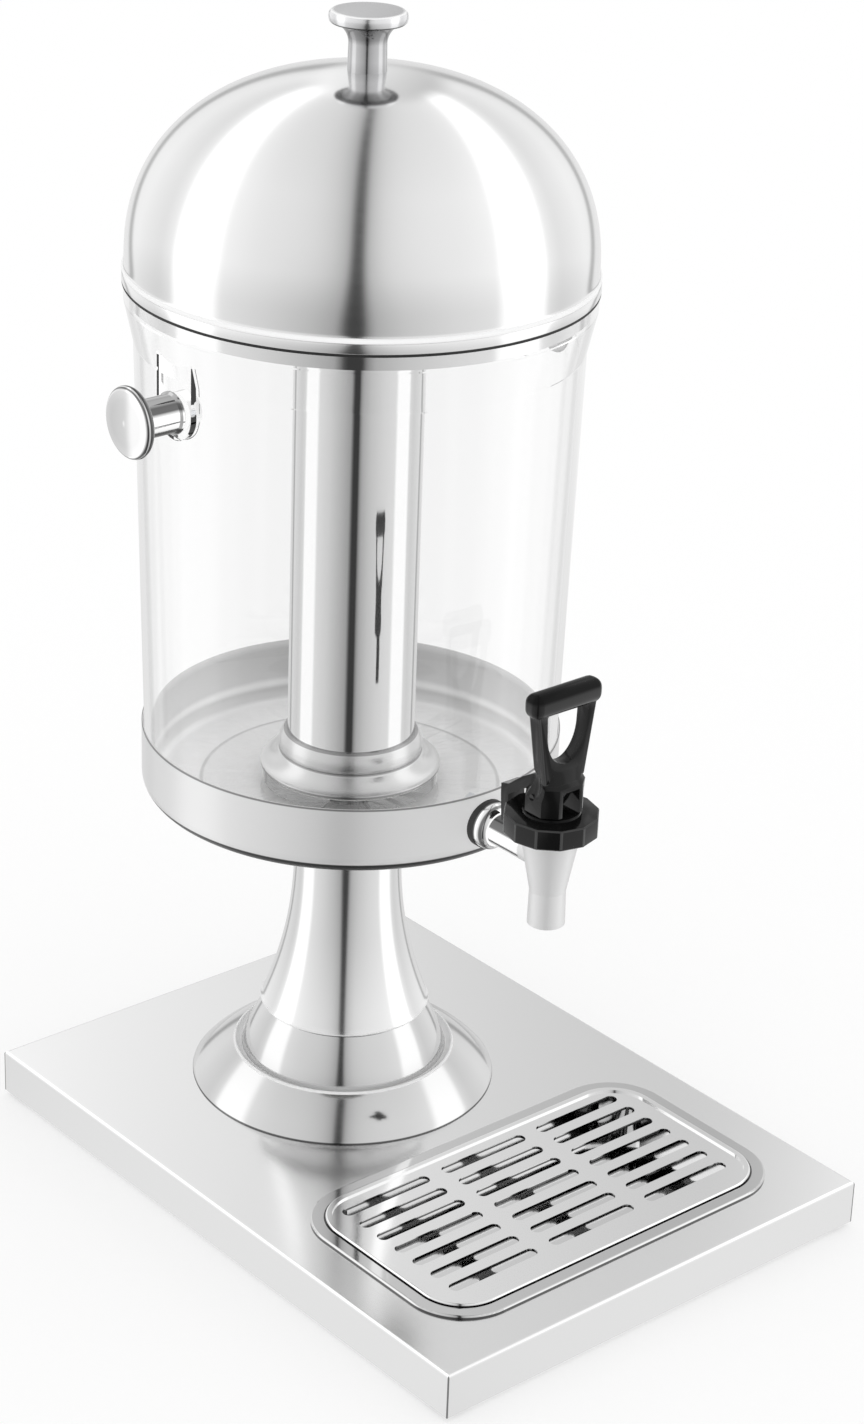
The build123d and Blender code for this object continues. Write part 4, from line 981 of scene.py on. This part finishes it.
class KnobSettings(bpy.types.PropertyGroup):
    """The lid's turned knob."""

    sides: IntProperty(name="Sides", description="Flats round the knob", min=24, default=96)
    sheet: FloatProperty(name="Wall", description="Thickness of the knob's wall", unit="LENGTH", default=0.0008)
    neck: FloatProperty(name="Neck", description="Radius of the knob's neck in millimetres", min=1.0, default=8.8)
    power: FloatProperty(name="Flare", description="How late the flare under the disc opens", min=1.0, default=2.4)


# Outline of the knob's foot and disc, and the flare between them: radius and height above the lid in millimetres
KNOB_FOOT = ((9.1, -0.8), (9.0, 0.2))
KNOB_FLARE, KNOB_FLARE_RADIUS = (11.5, 20.6), 13.6
KNOB_DISC = ((15.6, 20.9), (16.9, 21.3), (17.6, 22.0), (17.9, 23.2), (17.95, 24.4), (17.7, 25.5), (17.2, 26.2),
             (16.5, 26.65), (15.6, 26.8), (12.0, 27.1), (8.0, 27.3), (4.0, 27.45), (0.05, 27.5))
KNOB_STEPS = 12


class DISPENSER_OT_knob(bpy.types.Operator):
    """Make the lid's turned knob with its neck and flared disc"""

    bl_idname = "dispenser.knob"
    bl_label = "Lid knob"

    def execute(self, context):
        settings = context.scene.dispenser_knob
        outline = list(KNOB_FOOT)
        for step in range(KNOB_STEPS + 1):
            share = step / KNOB_STEPS
            radius = settings.neck + (KNOB_FLARE_RADIUS - settings.neck) * share ** settings.power
            outline.append((radius, KNOB_FLARE[0] + (KNOB_FLARE[1] - KNOB_FLARE[0]) * share))
        outline.extend(KNOB_DISC)
        knob = turned("knob_shell", settings, outline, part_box("lid_knob")[1].z - KNOB_TALL * MM)
        finish_piece(knob, knob_chrome(context.scene.dispenser_finish), "lid", "bright_chrome", "lid_knob")
        return {"FINISHED"}


class PedestalSettings(bpy.types.PropertyGroup):
    """The pedestal's spun foot and stem."""

    sides: IntProperty(name="Sides", description="Flats round the foot and the stem", min=64, default=192)
    sheet: FloatProperty(name="Sheet", description="Thickness of the spun sheet", unit="LENGTH", default=0.0008)
    foot_bulge: FloatProperty(name="Foot", description="Bulge of the foot's lower tier in millimetres", default=1.4)
    collar_bulge: FloatProperty(name="Collar", description="Bulge of the foot's collar in millimetres", default=1.3)
    waist: FloatProperty(name="Waist", description="Radius of the stem's waist in millimetres", min=1.0, default=26.6)
    flare: FloatProperty(name="Flare", description="Height of the stem's flare in millimetres", min=1.0, default=86.0)
    power: FloatProperty(name="Trumpet", description="How late the stem's flare opens", min=1.0, default=2.25)


# Outline of the foot's rim, step, groove and collar, and of the stem's rolled foot: radius and height in millimetres
FOOT_LIP = ((76.3, 0.0), (76.6, 0.3), (76.4, 0.8))
FOOT_STEP = ((55.9, 16.2), (55.8, 16.7), (55.3, 17.1), (54.8, 17.1), (54.3, 16.7), (53.4, 15.9), (52.0, 15.5))
FOOT_GROOVE, FOOT_COLLAR, FOOT_SHOULDER, FOOT_HOLE = (51.6, 15.4), (39.4, 40.9), (38.9, 41.3), (34.0, 41.3)
STEM_LIP = ((38.5, 0.0), (42.0, 0.0), (42.5, 0.3), (42.5, 0.8), (42.1, 1.2))
ARC_STEPS, FLARE_STEPS = 20, 36


class DISPENSER_OT_pedestal(bpy.types.Operator):
    """Make the pedestal's stepped foot and trumpet stem"""

    bl_idname = "dispenser.pedestal"
    bl_label = "Pedestal"

    def execute(self, context):
        settings = context.scene.dispenser_pedestal
        finish = context.scene.dispenser_finish
        tier = arc(FOOT_LIP[-1], FOOT_STEP[0], settings.foot_bulge, ARC_STEPS)
        collar = arc(FOOT_GROOVE, FOOT_COLLAR, settings.collar_bulge, ARC_STEPS)
        outline = [*FOOT_LIP, *tier, *FOOT_STEP[1:], FOOT_GROOVE, *collar, FOOT_SHOULDER, FOOT_HOLE]
        foot = turned("foot_shell", settings, outline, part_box("pedestal_foot")[0].z)
        finish_piece(foot, foot_steel(finish), "stand", "polished_steel", "pedestal_foot")
        low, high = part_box("pedestal_stem")
        outline = list(STEM_LIP)
        first, start = STEM_LIP[-1]
        for step in range(1, FLARE_STEPS + 1):
            share = step / FLARE_STEPS
            radius = settings.waist + (first - settings.waist) * (1 - share) ** settings.power
            outline.append((radius, start + (settings.flare - start) * share))
        outline.append((settings.waist, (high.z - low.z) / MM))
        stem = turned("stem_shell", settings, outline, low.z)
        finish_piece(stem, stem_steel(finish), "stand", "polished_steel", "pedestal_stem")
        return {"FINISHED"}


class BonnetSettings(bpy.types.PropertyGroup):
    """The tap's twelve-sided bonnet."""

    edge_round: FloatProperty(
        name="Edge", description="Rounding of the bonnet's edges in millimetres", min=0.0, default=0.7)
    collar_radius: FloatProperty(
        name="Collar", description="Radius of the round collar under the handle", unit="LENGTH", default=0.0135)
    collar_height: FloatProperty(
        name="Collar height", description="Height of the collar above the bonnet", unit="LENGTH", default=0.0012)


BONNET_SIDES, BONNET_SHARP = 12, 20.0
# Flats round the collar, and how deep it sits in the bonnet and the rounding of its edges in millimetres
COLLAR_SIDES, COLLAR_SUNK, COLLAR_ROUND = 48, 1.0, 0.4


class DISPENSER_OT_bonnet(bpy.types.Operator):
    """Make the black bonnet with rounded edges and a round collar"""

    bl_idname = "dispenser.bonnet"
    bl_label = "Tap bonnet"

    def execute(self, context):
        settings = context.scene.dispenser_bonnet
        low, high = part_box("tap_bonnet")
        middle = (low + high) / 2
        bonnet = shape("bonnet_nut", bpy.ops.mesh.primitive_cylinder_add, vertices=BONNET_SIDES,
                       radius=(high.x - low.x) / 2, depth=high.z - low.z, location=middle)
        tall = settings.collar_height + COLLAR_SUNK * MM
        level = high.z - COLLAR_SUNK * MM + tall / 2
        collar = shape("bonnet_collar", bpy.ops.mesh.primitive_cylinder_add, vertices=COLLAR_SIDES,
                       radius=settings.collar_radius, depth=tall, location=(middle.x, middle.y, level))
        round_edges(collar, COLLAR_ROUND, EDGE_STEPS)
        mark_rounded(bonnet, settings.edge_round, EDGE_STEPS, BONNET_SHARP)
        combine(bonnet, collar, "UNION")
        gloss = shifted(high.z / MM, BONNET_GLOSS)
        black = moulded_black(context.scene.dispenser_finish, "black_moulded_bonnet", gloss)
        finish_piece(bonnet, black, "tank", "black_plastic", "tap_bonnet")
        bonnet.visible_glossy = False
        return {"FINISHED"}


class HandleSettings(bpy.types.PropertyGroup):
    """The tap's handle, in millimetres from the tap's axis and the bonnet's top."""

    half_width: FloatProperty(name="Half width", description="Half the block's width", min=1.0, default=13.0)
    front: FloatProperty(name="Front", description="Reach of the block towards the user", min=1.0, default=12.5)
    back: FloatProperty(name="Back", description="Reach of the block towards the tank", min=1.0, default=10.0)
    corner: FloatProperty(name="Corner", description="Cut of the block's upright corners", min=0.1, default=5.8)
    edge_round: FloatProperty(name="Edge", description="Rounding of the handle's edges", min=0.0, default=0.55)
    grip_round: FloatProperty(name="Grip", description="Rounding of the grip's edges", min=0.0, default=4.6)
    leg_round: FloatProperty(name="Legs", description="Rounding of the legs' edges", min=0.0, default=1.0)


# All in millimetres from the tap's axis and the bonnet's top
BLOCK_FOOT, BLOCK_TOP = 2.4, 10.0
# Sections of the neck above the block: height, half width, front and back
NECK = ((13.0, 12.6, -12.5, 7.0), (16.4, 12.4, -12.3, 4.6), (17.6, 12.4, -9.8, 4.0), (23.0, 12.2, -8.2, 1.4),
        (27.0, 11.6, -7.2, -0.8))
# Scoops in the sides of the neck: radius, distance from the axis, depth, height and flats
SCOOP_RADIUS, SCOOP_ASIDE, SCOOP_DEPTH, SCOOP_HEIGHT, SCOOP_SIDES = 12.0, 22.2, 1.0, 17.5, 40
# Legs: heights, half widths at foot and top, front and back
LEGS_FOOT, LEGS_TOP, LEGS_FOOT_WIDTH, LEGS_TOP_WIDTH = 18.0, 58.0, 12.2, 18.4
LEGS_FRONT, LEGS_BACK = -7.6, -0.4
GRIP_HALF_LENGTH, GRIP_DEEP, GRIP_TALL = 20.8, 5.5, 6.0
# Finger gap: the rod's radius and height, how far its lower half is drawn down, how its upper half is flattened
# and then lifted, how much longer than the legs are deep it is, and its flats
WINDOW_HALF_WIDTH, WINDOW_HEIGHT, WINDOW_DEPTH = 12.0, 44.0, 17.5
WINDOW_FLATTEN, WINDOW_LIFT, WINDOW_SPARE, WINDOW_SIDES = (1.04, 1.0, 0.25), 8.0, 8.0, 64
SLOT_HALF_WIDTH, SLOT_TOP, SLOT_BACK = 5.0, 14.4, -2.0
# Sections of the tail: reach to the back, upper and lower height
TAIL = ((8.0, 17.0, 10.5), (15.0, 13.0, 6.5), (24.5, 5.5, 0.0))
TAIL_HALF_WIDTH, TAIL_ROOT, TAIL_THICK, TAIL_SLOPE, TAIL_END, TAIL_LEAN = 5.0, 6.0, 5.0, -1.5, -13.5, -1.0
# A face points along an axis where its normal has this share of it, and points are apart by more than CLEARLY
FACING, FACING_DOWN, CLEARLY, KNEE = 0.9, -0.7, 0.1, 1.5


class DISPENSER_OT_handle(bpy.types.Operator):
    """Make the tap's black handle: block, neck, legs, grip and hooked tail"""

    bl_idname = "dispenser.handle"
    bl_label = "Tap handle"

    def execute(self, context):
        settings = context.scene.dispenser_handle
        low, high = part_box("tap_bonnet")
        axis = Vector(((low.x + high.x) / 2, (low.y + high.y) / 2, high.z))
        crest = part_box("tap_handle")[1].z
        handle = self.body(settings, axis)
        combine(handle, self.legs(settings, axis), "UNION")
        for side in (-1.0, 1.0):
            combine(handle, self.scoop(axis, side), "DIFFERENCE")
        combine(handle, self.window(axis), "DIFFERENCE")
        combine(handle, self.tail(axis), "UNION")
        slot = block("handle_slot", axis, (-SLOT_HALF_WIDTH, -2 * settings.front, 0.0),
                     (SLOT_HALF_WIDTH, SLOT_BACK, SLOT_TOP))
        combine(handle, slot, "DIFFERENCE")
        mark_rounded(handle, settings.edge_round, FINE_STEPS)
        combine(handle, self.grip(settings, axis, (crest - axis.z) / MM), "UNION")
        gloss = shifted(crest / MM, HANDLE_GLOSS)
        black = moulded_black(context.scene.dispenser_finish, "black_moulded_handle", gloss)
        finish_piece(handle, black, "tap_handle", "black_plastic", "tap_handle")
        return {"FINISHED"}

    def body(self, settings, axis):
        """The block with cut corners and the neck that draws in above it."""
        body = block("tap_lever", axis, (-settings.half_width, -settings.front, BLOCK_FOOT),
                     (settings.half_width, settings.back, BLOCK_TOP))
        pick(body, "EDGE", lambda first, second: abs(first.z - second.z) > CLEARLY * MM)
        bpy.ops.mesh.bevel(offset=settings.corner * MM, segments=1, affect="EDGES")
        bpy.ops.object.mode_set(mode="OBJECT")
        pick(body, "FACE", lambda centre, normal: normal.z > FACING)
        sections = ((BLOCK_TOP, settings.half_width, -settings.front, settings.back), *NECK)
        for before, after in zip(sections, NECK):
            middle = (after[2] + after[3]) / 2
            shift = middle - (before[2] + before[3]) / 2
            draw_out(Vector((0.0, shift, after[0] - before[0])) * MM)
            deep = (after[3] - after[2]) / (before[3] - before[2])
            resize((after[1] / before[1], deep, 1.0), axis + Vector((0.0, middle, after[0])) * MM)
        bpy.ops.object.mode_set(mode="OBJECT")
        return body

    def legs(self, settings, axis):
        """The upright plate that the window is cut from, wider at its top."""
        legs = block("handle_legs", axis, (-LEGS_FOOT_WIDTH, LEGS_FRONT, LEGS_FOOT),
                     (LEGS_FOOT_WIDTH, LEGS_BACK, LEGS_TOP))
        pick(legs, "FACE", lambda centre, normal: normal.z > FACING)
        resize((LEGS_TOP_WIDTH / LEGS_FOOT_WIDTH, 1.0, 1.0), axis + Vector((0.0, 0.0, LEGS_TOP)) * MM)
        bpy.ops.object.mode_set(mode="OBJECT")
        mark_rounded(legs, settings.leg_round, EDGE_STEPS)
        return legs

    def scoop(self, axis, side):
        """A ball that hollows one side of the neck."""
        centre = axis + Vector((side * SCOOP_ASIDE, SCOOP_DEPTH, SCOOP_HEIGHT)) * MM
        return shape("handle_scoop", bpy.ops.mesh.primitive_uv_sphere_add, segments=SCOOP_SIDES,
                     ring_count=SCOOP_SIDES // 2, radius=SCOOP_RADIUS * MM, location=centre)

    def window(self, axis):
        """The bow-shaped finger gap: a round rod whose upper half is drawn up flat."""
        centre = axis + Vector((0.0, (LEGS_BACK + LEGS_FRONT) / 2, WINDOW_HEIGHT)) * MM
        window = shape("handle_window", bpy.ops.mesh.primitive_cylinder_add, vertices=WINDOW_SIDES,
                       radius=WINDOW_HALF_WIDTH * MM, depth=(LEGS_BACK - LEGS_FRONT + WINDOW_SPARE) * MM,
                       location=centre, rotation=(math.pi / 2, 0.0, 0.0))
        pick(window, "VERT", lambda spot: spot.z < centre.z - CLEARLY * MM)
        resize((1.0, 1.0, WINDOW_DEPTH / WINDOW_HALF_WIDTH), centre)
        bpy.ops.object.mode_set(mode="OBJECT")
        pick(window, "VERT", lambda spot: spot.z > centre.z + CLEARLY * MM)
        resize(WINDOW_FLATTEN, centre)
        bpy.ops.transform.translate(value=(0.0, 0.0, WINDOW_LIFT * MM))
        bpy.ops.object.mode_set(mode="OBJECT")
        return window

    def tail(self, axis):
        """The hook behind the block that reaches over the bonnet's edge."""
        reach, top, under = TAIL[0]
        tail = block("handle_tail", axis, (-TAIL_HALF_WIDTH, reach - TAIL_ROOT, under),
                     (TAIL_HALF_WIDTH, reach, top))
        pick(tail, "FACE", lambda centre, normal: normal.y > FACING)
        for before, after in zip(TAIL, TAIL[1:]):
            middle = (after[1] + after[2]) / 2
            rise = middle - (before[1] + before[2]) / 2
            draw_out(Vector((0.0, after[0] - before[0], rise)) * MM)
            share = (after[1] - after[2]) / (before[1] - before[2])
            resize((1.0, 1.0, share), axis + Vector((0.0, after[0], middle)) * MM)
        draw_out(Vector((0.0, TAIL_THICK, TAIL_SLOPE)) * MM)
        bpy.ops.object.mode_set(mode="OBJECT")
        reach, top, under = TAIL[-1]
        knee = axis.y + (reach + TAIL_THICK / 2) * MM
        pick(tail, "FACE", lambda centre, normal: normal.z < FACING_DOWN and abs(centre.y - knee) < KNEE * MM)
        draw_out(Vector((0.0, TAIL_LEAN, TAIL_END - under)) * MM)
        bpy.ops.object.mode_set(mode="OBJECT")
        return tail

    def grip(self, settings, axis, top):
        """The rounded bar on top of the legs."""
        middle = (LEGS_FRONT + LEGS_BACK) / 2
        grip = block("handle_grip", axis, (-GRIP_HALF_LENGTH, middle - GRIP_DEEP, top - 2 * GRIP_TALL),
                     (GRIP_HALF_LENGTH, middle + GRIP_DEEP, top))
        round_edges(grip, settings.grip_round, GRIP_STEPS)
        return grip


class SpringSettings(bpy.types.PropertyGroup):
    """The closing spring inside the tap."""

    wire: FloatProperty(name="Wire", description="Radius of the spring's wire", unit="LENGTH", default=0.0006)
    turns: IntProperty(name="Turns", description="Turns of the spring", min=2, default=6)
    sides: IntProperty(name="Sides", description="Flats round the wire", min=6, default=12)
    steps: IntProperty(name="Steps", description="Steps in one turn", min=12, default=36)


class DISPENSER_OT_spring(bpy.types.Operator):
    """Wind the tap's closing spring"""

    bl_idname = "dispenser.spring"
    bl_label = "Tap spring"

    def execute(self, context):
        settings = context.scene.dispenser_spring
        low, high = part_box("valve_spring")
        middle = (low + high) / 2
        spring = shape("tap_spring", bpy.ops.mesh.primitive_circle_add, vertices=settings.sides,
                       radius=settings.wire, rotation=(math.pi / 2, 0.0, 0.0),
                       location=((high.x - low.x) / 2 - settings.wire, 0.0, settings.wire))
        modify(spring, "SCREW", steps=settings.steps, render_steps=settings.steps, iterations=settings.turns,
               screw_offset=(high.z - low.z - 2 * settings.wire) / settings.turns)
        bpy.ops.object.mode_set(mode="EDIT")
        bpy.ops.mesh.select_all(action="SELECT")
        bpy.ops.mesh.fill_holes(sides=0)
        face_outward()
        spring.location = (middle.x, middle.y, low.z)
        settle()
        wire = zinc_steel(context.scene.dispenser_finish, "spring_wire")
        finish_piece(spring, wire, "tank", "zinc_steel", "valve_spring")
        spring.visible_glossy = False
        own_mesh(spring)
        return {"FINISHED"}


# Brightness of the studio's panels as upright metal mirrors them, by turn from the camera in degrees, left to right
PANELS = ((-90, 0.82), (-72, 0.9), (-58, 0.78), (-53, 0.88), (-51, 1.3), (-38, 1.3), (-35.5, 0.92), (-24, 0.78),
          (-14, 0.6), (-7, 0.44), (-4.2, 0.1), (-3, 0.05), (2, 0.05), (3.6, 0.3), (6, 0.5), (14, 0.68), (24, 0.82),
          (35.5, 0.92), (38, 1.3), (51, 1.3), (53, 0.88), (58, 0.78), (72, 0.9), (90, 0.82))
BRIGHTEST = 1.3
# Their brightness by the tilt of the metal, as the sine of its rise
TILTS = ((-1.0, 0.8), (-0.3, 0.92), (0.0, 0.98), (0.12, 1.0), (0.3, 1.18), (0.7, 1.2), (1.0, 1.1))
# And by how squarely the metal faces the camera, with a dark line close to its outline
EDGES = ((0.0, 0.9), (0.25, 0.9), (0.28, 0.5), (0.305, 0.5), (0.335, 0.98), (1.0, 1.0))
# How much the panels lean together towards the top
LEAN = 0.2
# The dark line between them is narrower on metal that leans back: by this factor over this range of tilts
NARROWING_TILTS, NARROWING = (-0.1, 0.5), (1.1, 3.0)
# Brightness overhead, as level metal mirrors it, from the camera's left to its right, and the tilts where it begins
CEILING, CEILING_SPREAD, OVERHEAD = ((0.0, 1.06), (1.0, 0.64)), 4.5, (0.982, 0.995)
# Share of the floor's brightness that doesn't depend on light falling on it
FLOOR_GLOW = 0.6


def mirrored_by_metal(tree):
    """True on a path that a glossy surface has turned."""
    path = add_node(tree, "ShaderNodeLightPath")
    return calculate(tree, "GREATER_THAN", path.outputs["Glossy Depth"], 0.5)


def narrowed(tree, turn, tilt):
    """Turns near the dark line spread apart where the metal leans back, which leaves less of the line."""
    extra = spread(tree, tilt, NARROWING_TILTS, [factor - 1.0 for factor in NARROWING], "SMOOTHSTEP")
    size = calculate(tree, "MULTIPLY", calculate(tree, "ABSOLUTE", turn), 2.0)
    near = calculate(tree, "SUBTRACT", 1.0, calculate(tree, "MINIMUM", size, 1.0))
    growth = calculate(tree, "MULTIPLY_ADD", calculate(tree, "MULTIPLY", near, near), extra, 1.0)
    return calculate(tree, "MULTIPLY", turn, growth)


def dimmed(stops):
    """Stops whose levels are shares of the brightest, since a ramp holds no more than 1."""
    return [(spot, level / BRIGHTEST) for spot, level in stops]


def light_studio(stage):
    """An even white studio whose leaning panels show only in reflections."""
    world = bpy.data.worlds.new("studio")
    bpy.context.scene.world = world
    world.use_nodes = True
    tree = world.node_tree
    turned_by, risen_by = stage.camera_azimuth, stage.camera_elevation
    ahead = (math.sin(turned_by), -math.cos(turned_by), 0.0)
    right = (math.cos(turned_by), math.sin(turned_by), 0.0)
    sight = (ahead[0] * math.cos(risen_by), ahead[1] * math.cos(risen_by), math.sin(risen_by))
    mirrored = add_node(tree, "ShaderNodeTexCoord").outputs["Generated"]
    # The metal that mirrors a direction to the camera faces halfway between them
    facing = vector(tree, "NORMALIZE", vector(tree, "ADD", mirrored, sight))
    tilt = vector(tree, "DOT_PRODUCT", facing, UP)
    aside = vector(tree, "DOT_PRODUCT", facing, right)
    upright = calculate(tree, "SUBTRACT", 1.0, calculate(tree, "MULTIPLY", tilt, tilt))
    turn = calculate(tree, "ARCTAN2", aside, vector(tree, "DOT_PRODUCT", facing, ahead))
    turn = calculate(tree, "MULTIPLY", turn, calculate(tree, "POWER", upright, LEAN / 2))
    turn = calculate(tree, "MULTIPLY_ADD", narrowed(tree, turn, tilt), 1 / math.pi, 0.5)
    panels = ramp(tree, turn, dimmed((degrees / 180 + 0.5, level) for degrees, level in PANELS))
    tilts = ramp(tree, calculate(tree, "MULTIPLY_ADD", tilt, 0.5, 0.5),
                 dimmed((sine / 2 + 0.5, level) for sine, level in TILTS))
    edges = ramp(tree, vector(tree, "DOT_PRODUCT", facing, sight), EDGES)
    walls = vector(tree, "MULTIPLY", vector(tree, "MULTIPLY", panels, tilts), edges)
    across = calculate(tree, "MULTIPLY_ADD", aside, CEILING_SPREAD, 0.5)
    ceiling = ramp(tree, across, dimmed(CEILING))
    overhead = spread(tree, tilt, OVERHEAD, (0.0, 1.0), "SMOOTHSTEP")
    panelled = blended(tree, overhead, scaled(tree, walls, BRIGHTEST * BRIGHTEST), scaled(tree, ceiling, BRIGHTEST))
    background = tree.nodes["Background"]
    tree.links.new(blended(tree, mirrored_by_metal(tree), 1.0, panelled), background.inputs["Color"])
    background.inputs["Strength"].default_value = stage.light_level


def lay_floor(stage):
    """A pale floor that the metal looks through to the studio's panels."""
    floor = shape("floor", bpy.ops.mesh.primitive_plane_add, size=stage.floor_size)
    material, tree, shader = node_tree("pale_floor")
    tree.nodes.remove(shader)
    colour = (*stage.floor_colour, 1.0)
    matt = add_node(tree, "ShaderNodeBsdfDiffuse", Color=colour).outputs["BSDF"]
    glow = add_node(tree, "ShaderNodeEmission", Color=colour).outputs["Emission"]
    through = add_node(tree, "ShaderNodeBsdfTransparent").outputs["BSDF"]
    surface = mixed(tree, mirrored_by_metal(tree), mixed(tree, FLOOR_GLOW, matt, glow), through)
    tree.links.new(surface, tree.nodes["Material Output"].inputs["Surface"])
    floor.data.materials.append(material)


def place_camera(stage):
    """A camera at the photograph's angle."""
    turn, rise = stage.camera_azimuth, stage.camera_elevation
    back = Vector((math.sin(turn) * math.cos(rise), -math.cos(turn) * math.cos(rise), math.sin(rise)))
    right = Vector((math.cos(turn), math.sin(turn), 0.0))
    up = back.cross(right)
    roll = Matrix.Rotation(stage.camera_roll, 3, "Z")
    axes = Matrix((right, up, back)).transposed() @ roll
    camera_data = bpy.data.cameras.new("camera")
    camera_data.lens = stage.camera_lens
    camera = bpy.data.objects.new("camera", camera_data)
    bpy.context.scene.collection.objects.link(camera)
    camera.location = Vector(stage.camera_target) + back * stage.camera_distance
    camera.rotation_euler = axes.to_euler()
    bpy.context.scene.camera = camera


class DISPENSER_OT_stage(bpy.types.Operator):
    """Lay the floor, light the studio and place the camera"""

    bl_idname = "dispenser.stage"
    bl_label = "Stage"

    def execute(self, context):
        stage = context.scene.dispenser_stage
        context.scene.view_settings.view_transform = "Standard"
        lay_floor(stage)
        light_studio(stage)
        place_camera(stage)
        return {"FINISHED"}


class DISPENSER_PT_panel(bpy.types.Panel):
    """The dispenser's steps in the sidebar"""

    bl_label = "Juice dispenser"
    bl_idname = "DISPENSER_PT_panel"
    bl_space_type = "VIEW_3D"
    bl_region_type = "UI"
    bl_category = "Dispenser"

    def draw(self, context):
        for step in STEPS:
            self.layout.operator(step.bl_idname)


STEPS = (DISPENSER_OT_steel, DISPENSER_OT_tank, DISPENSER_OT_fittings, DISPENSER_OT_lid, DISPENSER_OT_seal,
         DISPENSER_OT_knob, DISPENSER_OT_pedestal, DISPENSER_OT_bonnet, DISPENSER_OT_handle, DISPENSER_OT_spring,
         DISPENSER_OT_stage)
SETTINGS = {
    "dispenser_finish": FinishSettings, "dispenser_stage": StageSettings, "dispenser_lid": LidSettings,
    "dispenser_seal": SealSettings, "dispenser_knob": KnobSettings, "dispenser_pedestal": PedestalSettings,
    "dispenser_bonnet": BonnetSettings, "dispenser_handle": HandleSettings, "dispenser_spring": SpringSettings}
CLASSES = (*SETTINGS.values(), *STEPS, DISPENSER_PT_panel)


def register():
    """Register the classes and give every scene their settings."""
    for item in CLASSES:
        bpy.utils.register_class(item)
    for name, group in SETTINGS.items():
        setattr(bpy.types.Scene, name, PointerProperty(type=group))


def unregister():
    """Take the settings and the classes away again."""
    for name in SETTINGS:
        delattr(bpy.types.Scene, name)
    for item in reversed(CLASSES):
        bpy.utils.unregister_class(item)


def main():
    """Make every piece in order."""
    register()
    bpy.ops.dispenser.steel()
    bpy.ops.dispenser.tank()
    bpy.ops.dispenser.fittings()
    bpy.ops.dispenser.lid()
    bpy.ops.dispenser.seal()
    bpy.ops.dispenser.knob()
    bpy.ops.dispenser.pedestal()
    bpy.ops.dispenser.bonnet()
    bpy.ops.dispenser.handle()
    bpy.ops.dispenser.spring()
    bpy.ops.dispenser.stage()


if __name__ == "__main__":
    main()
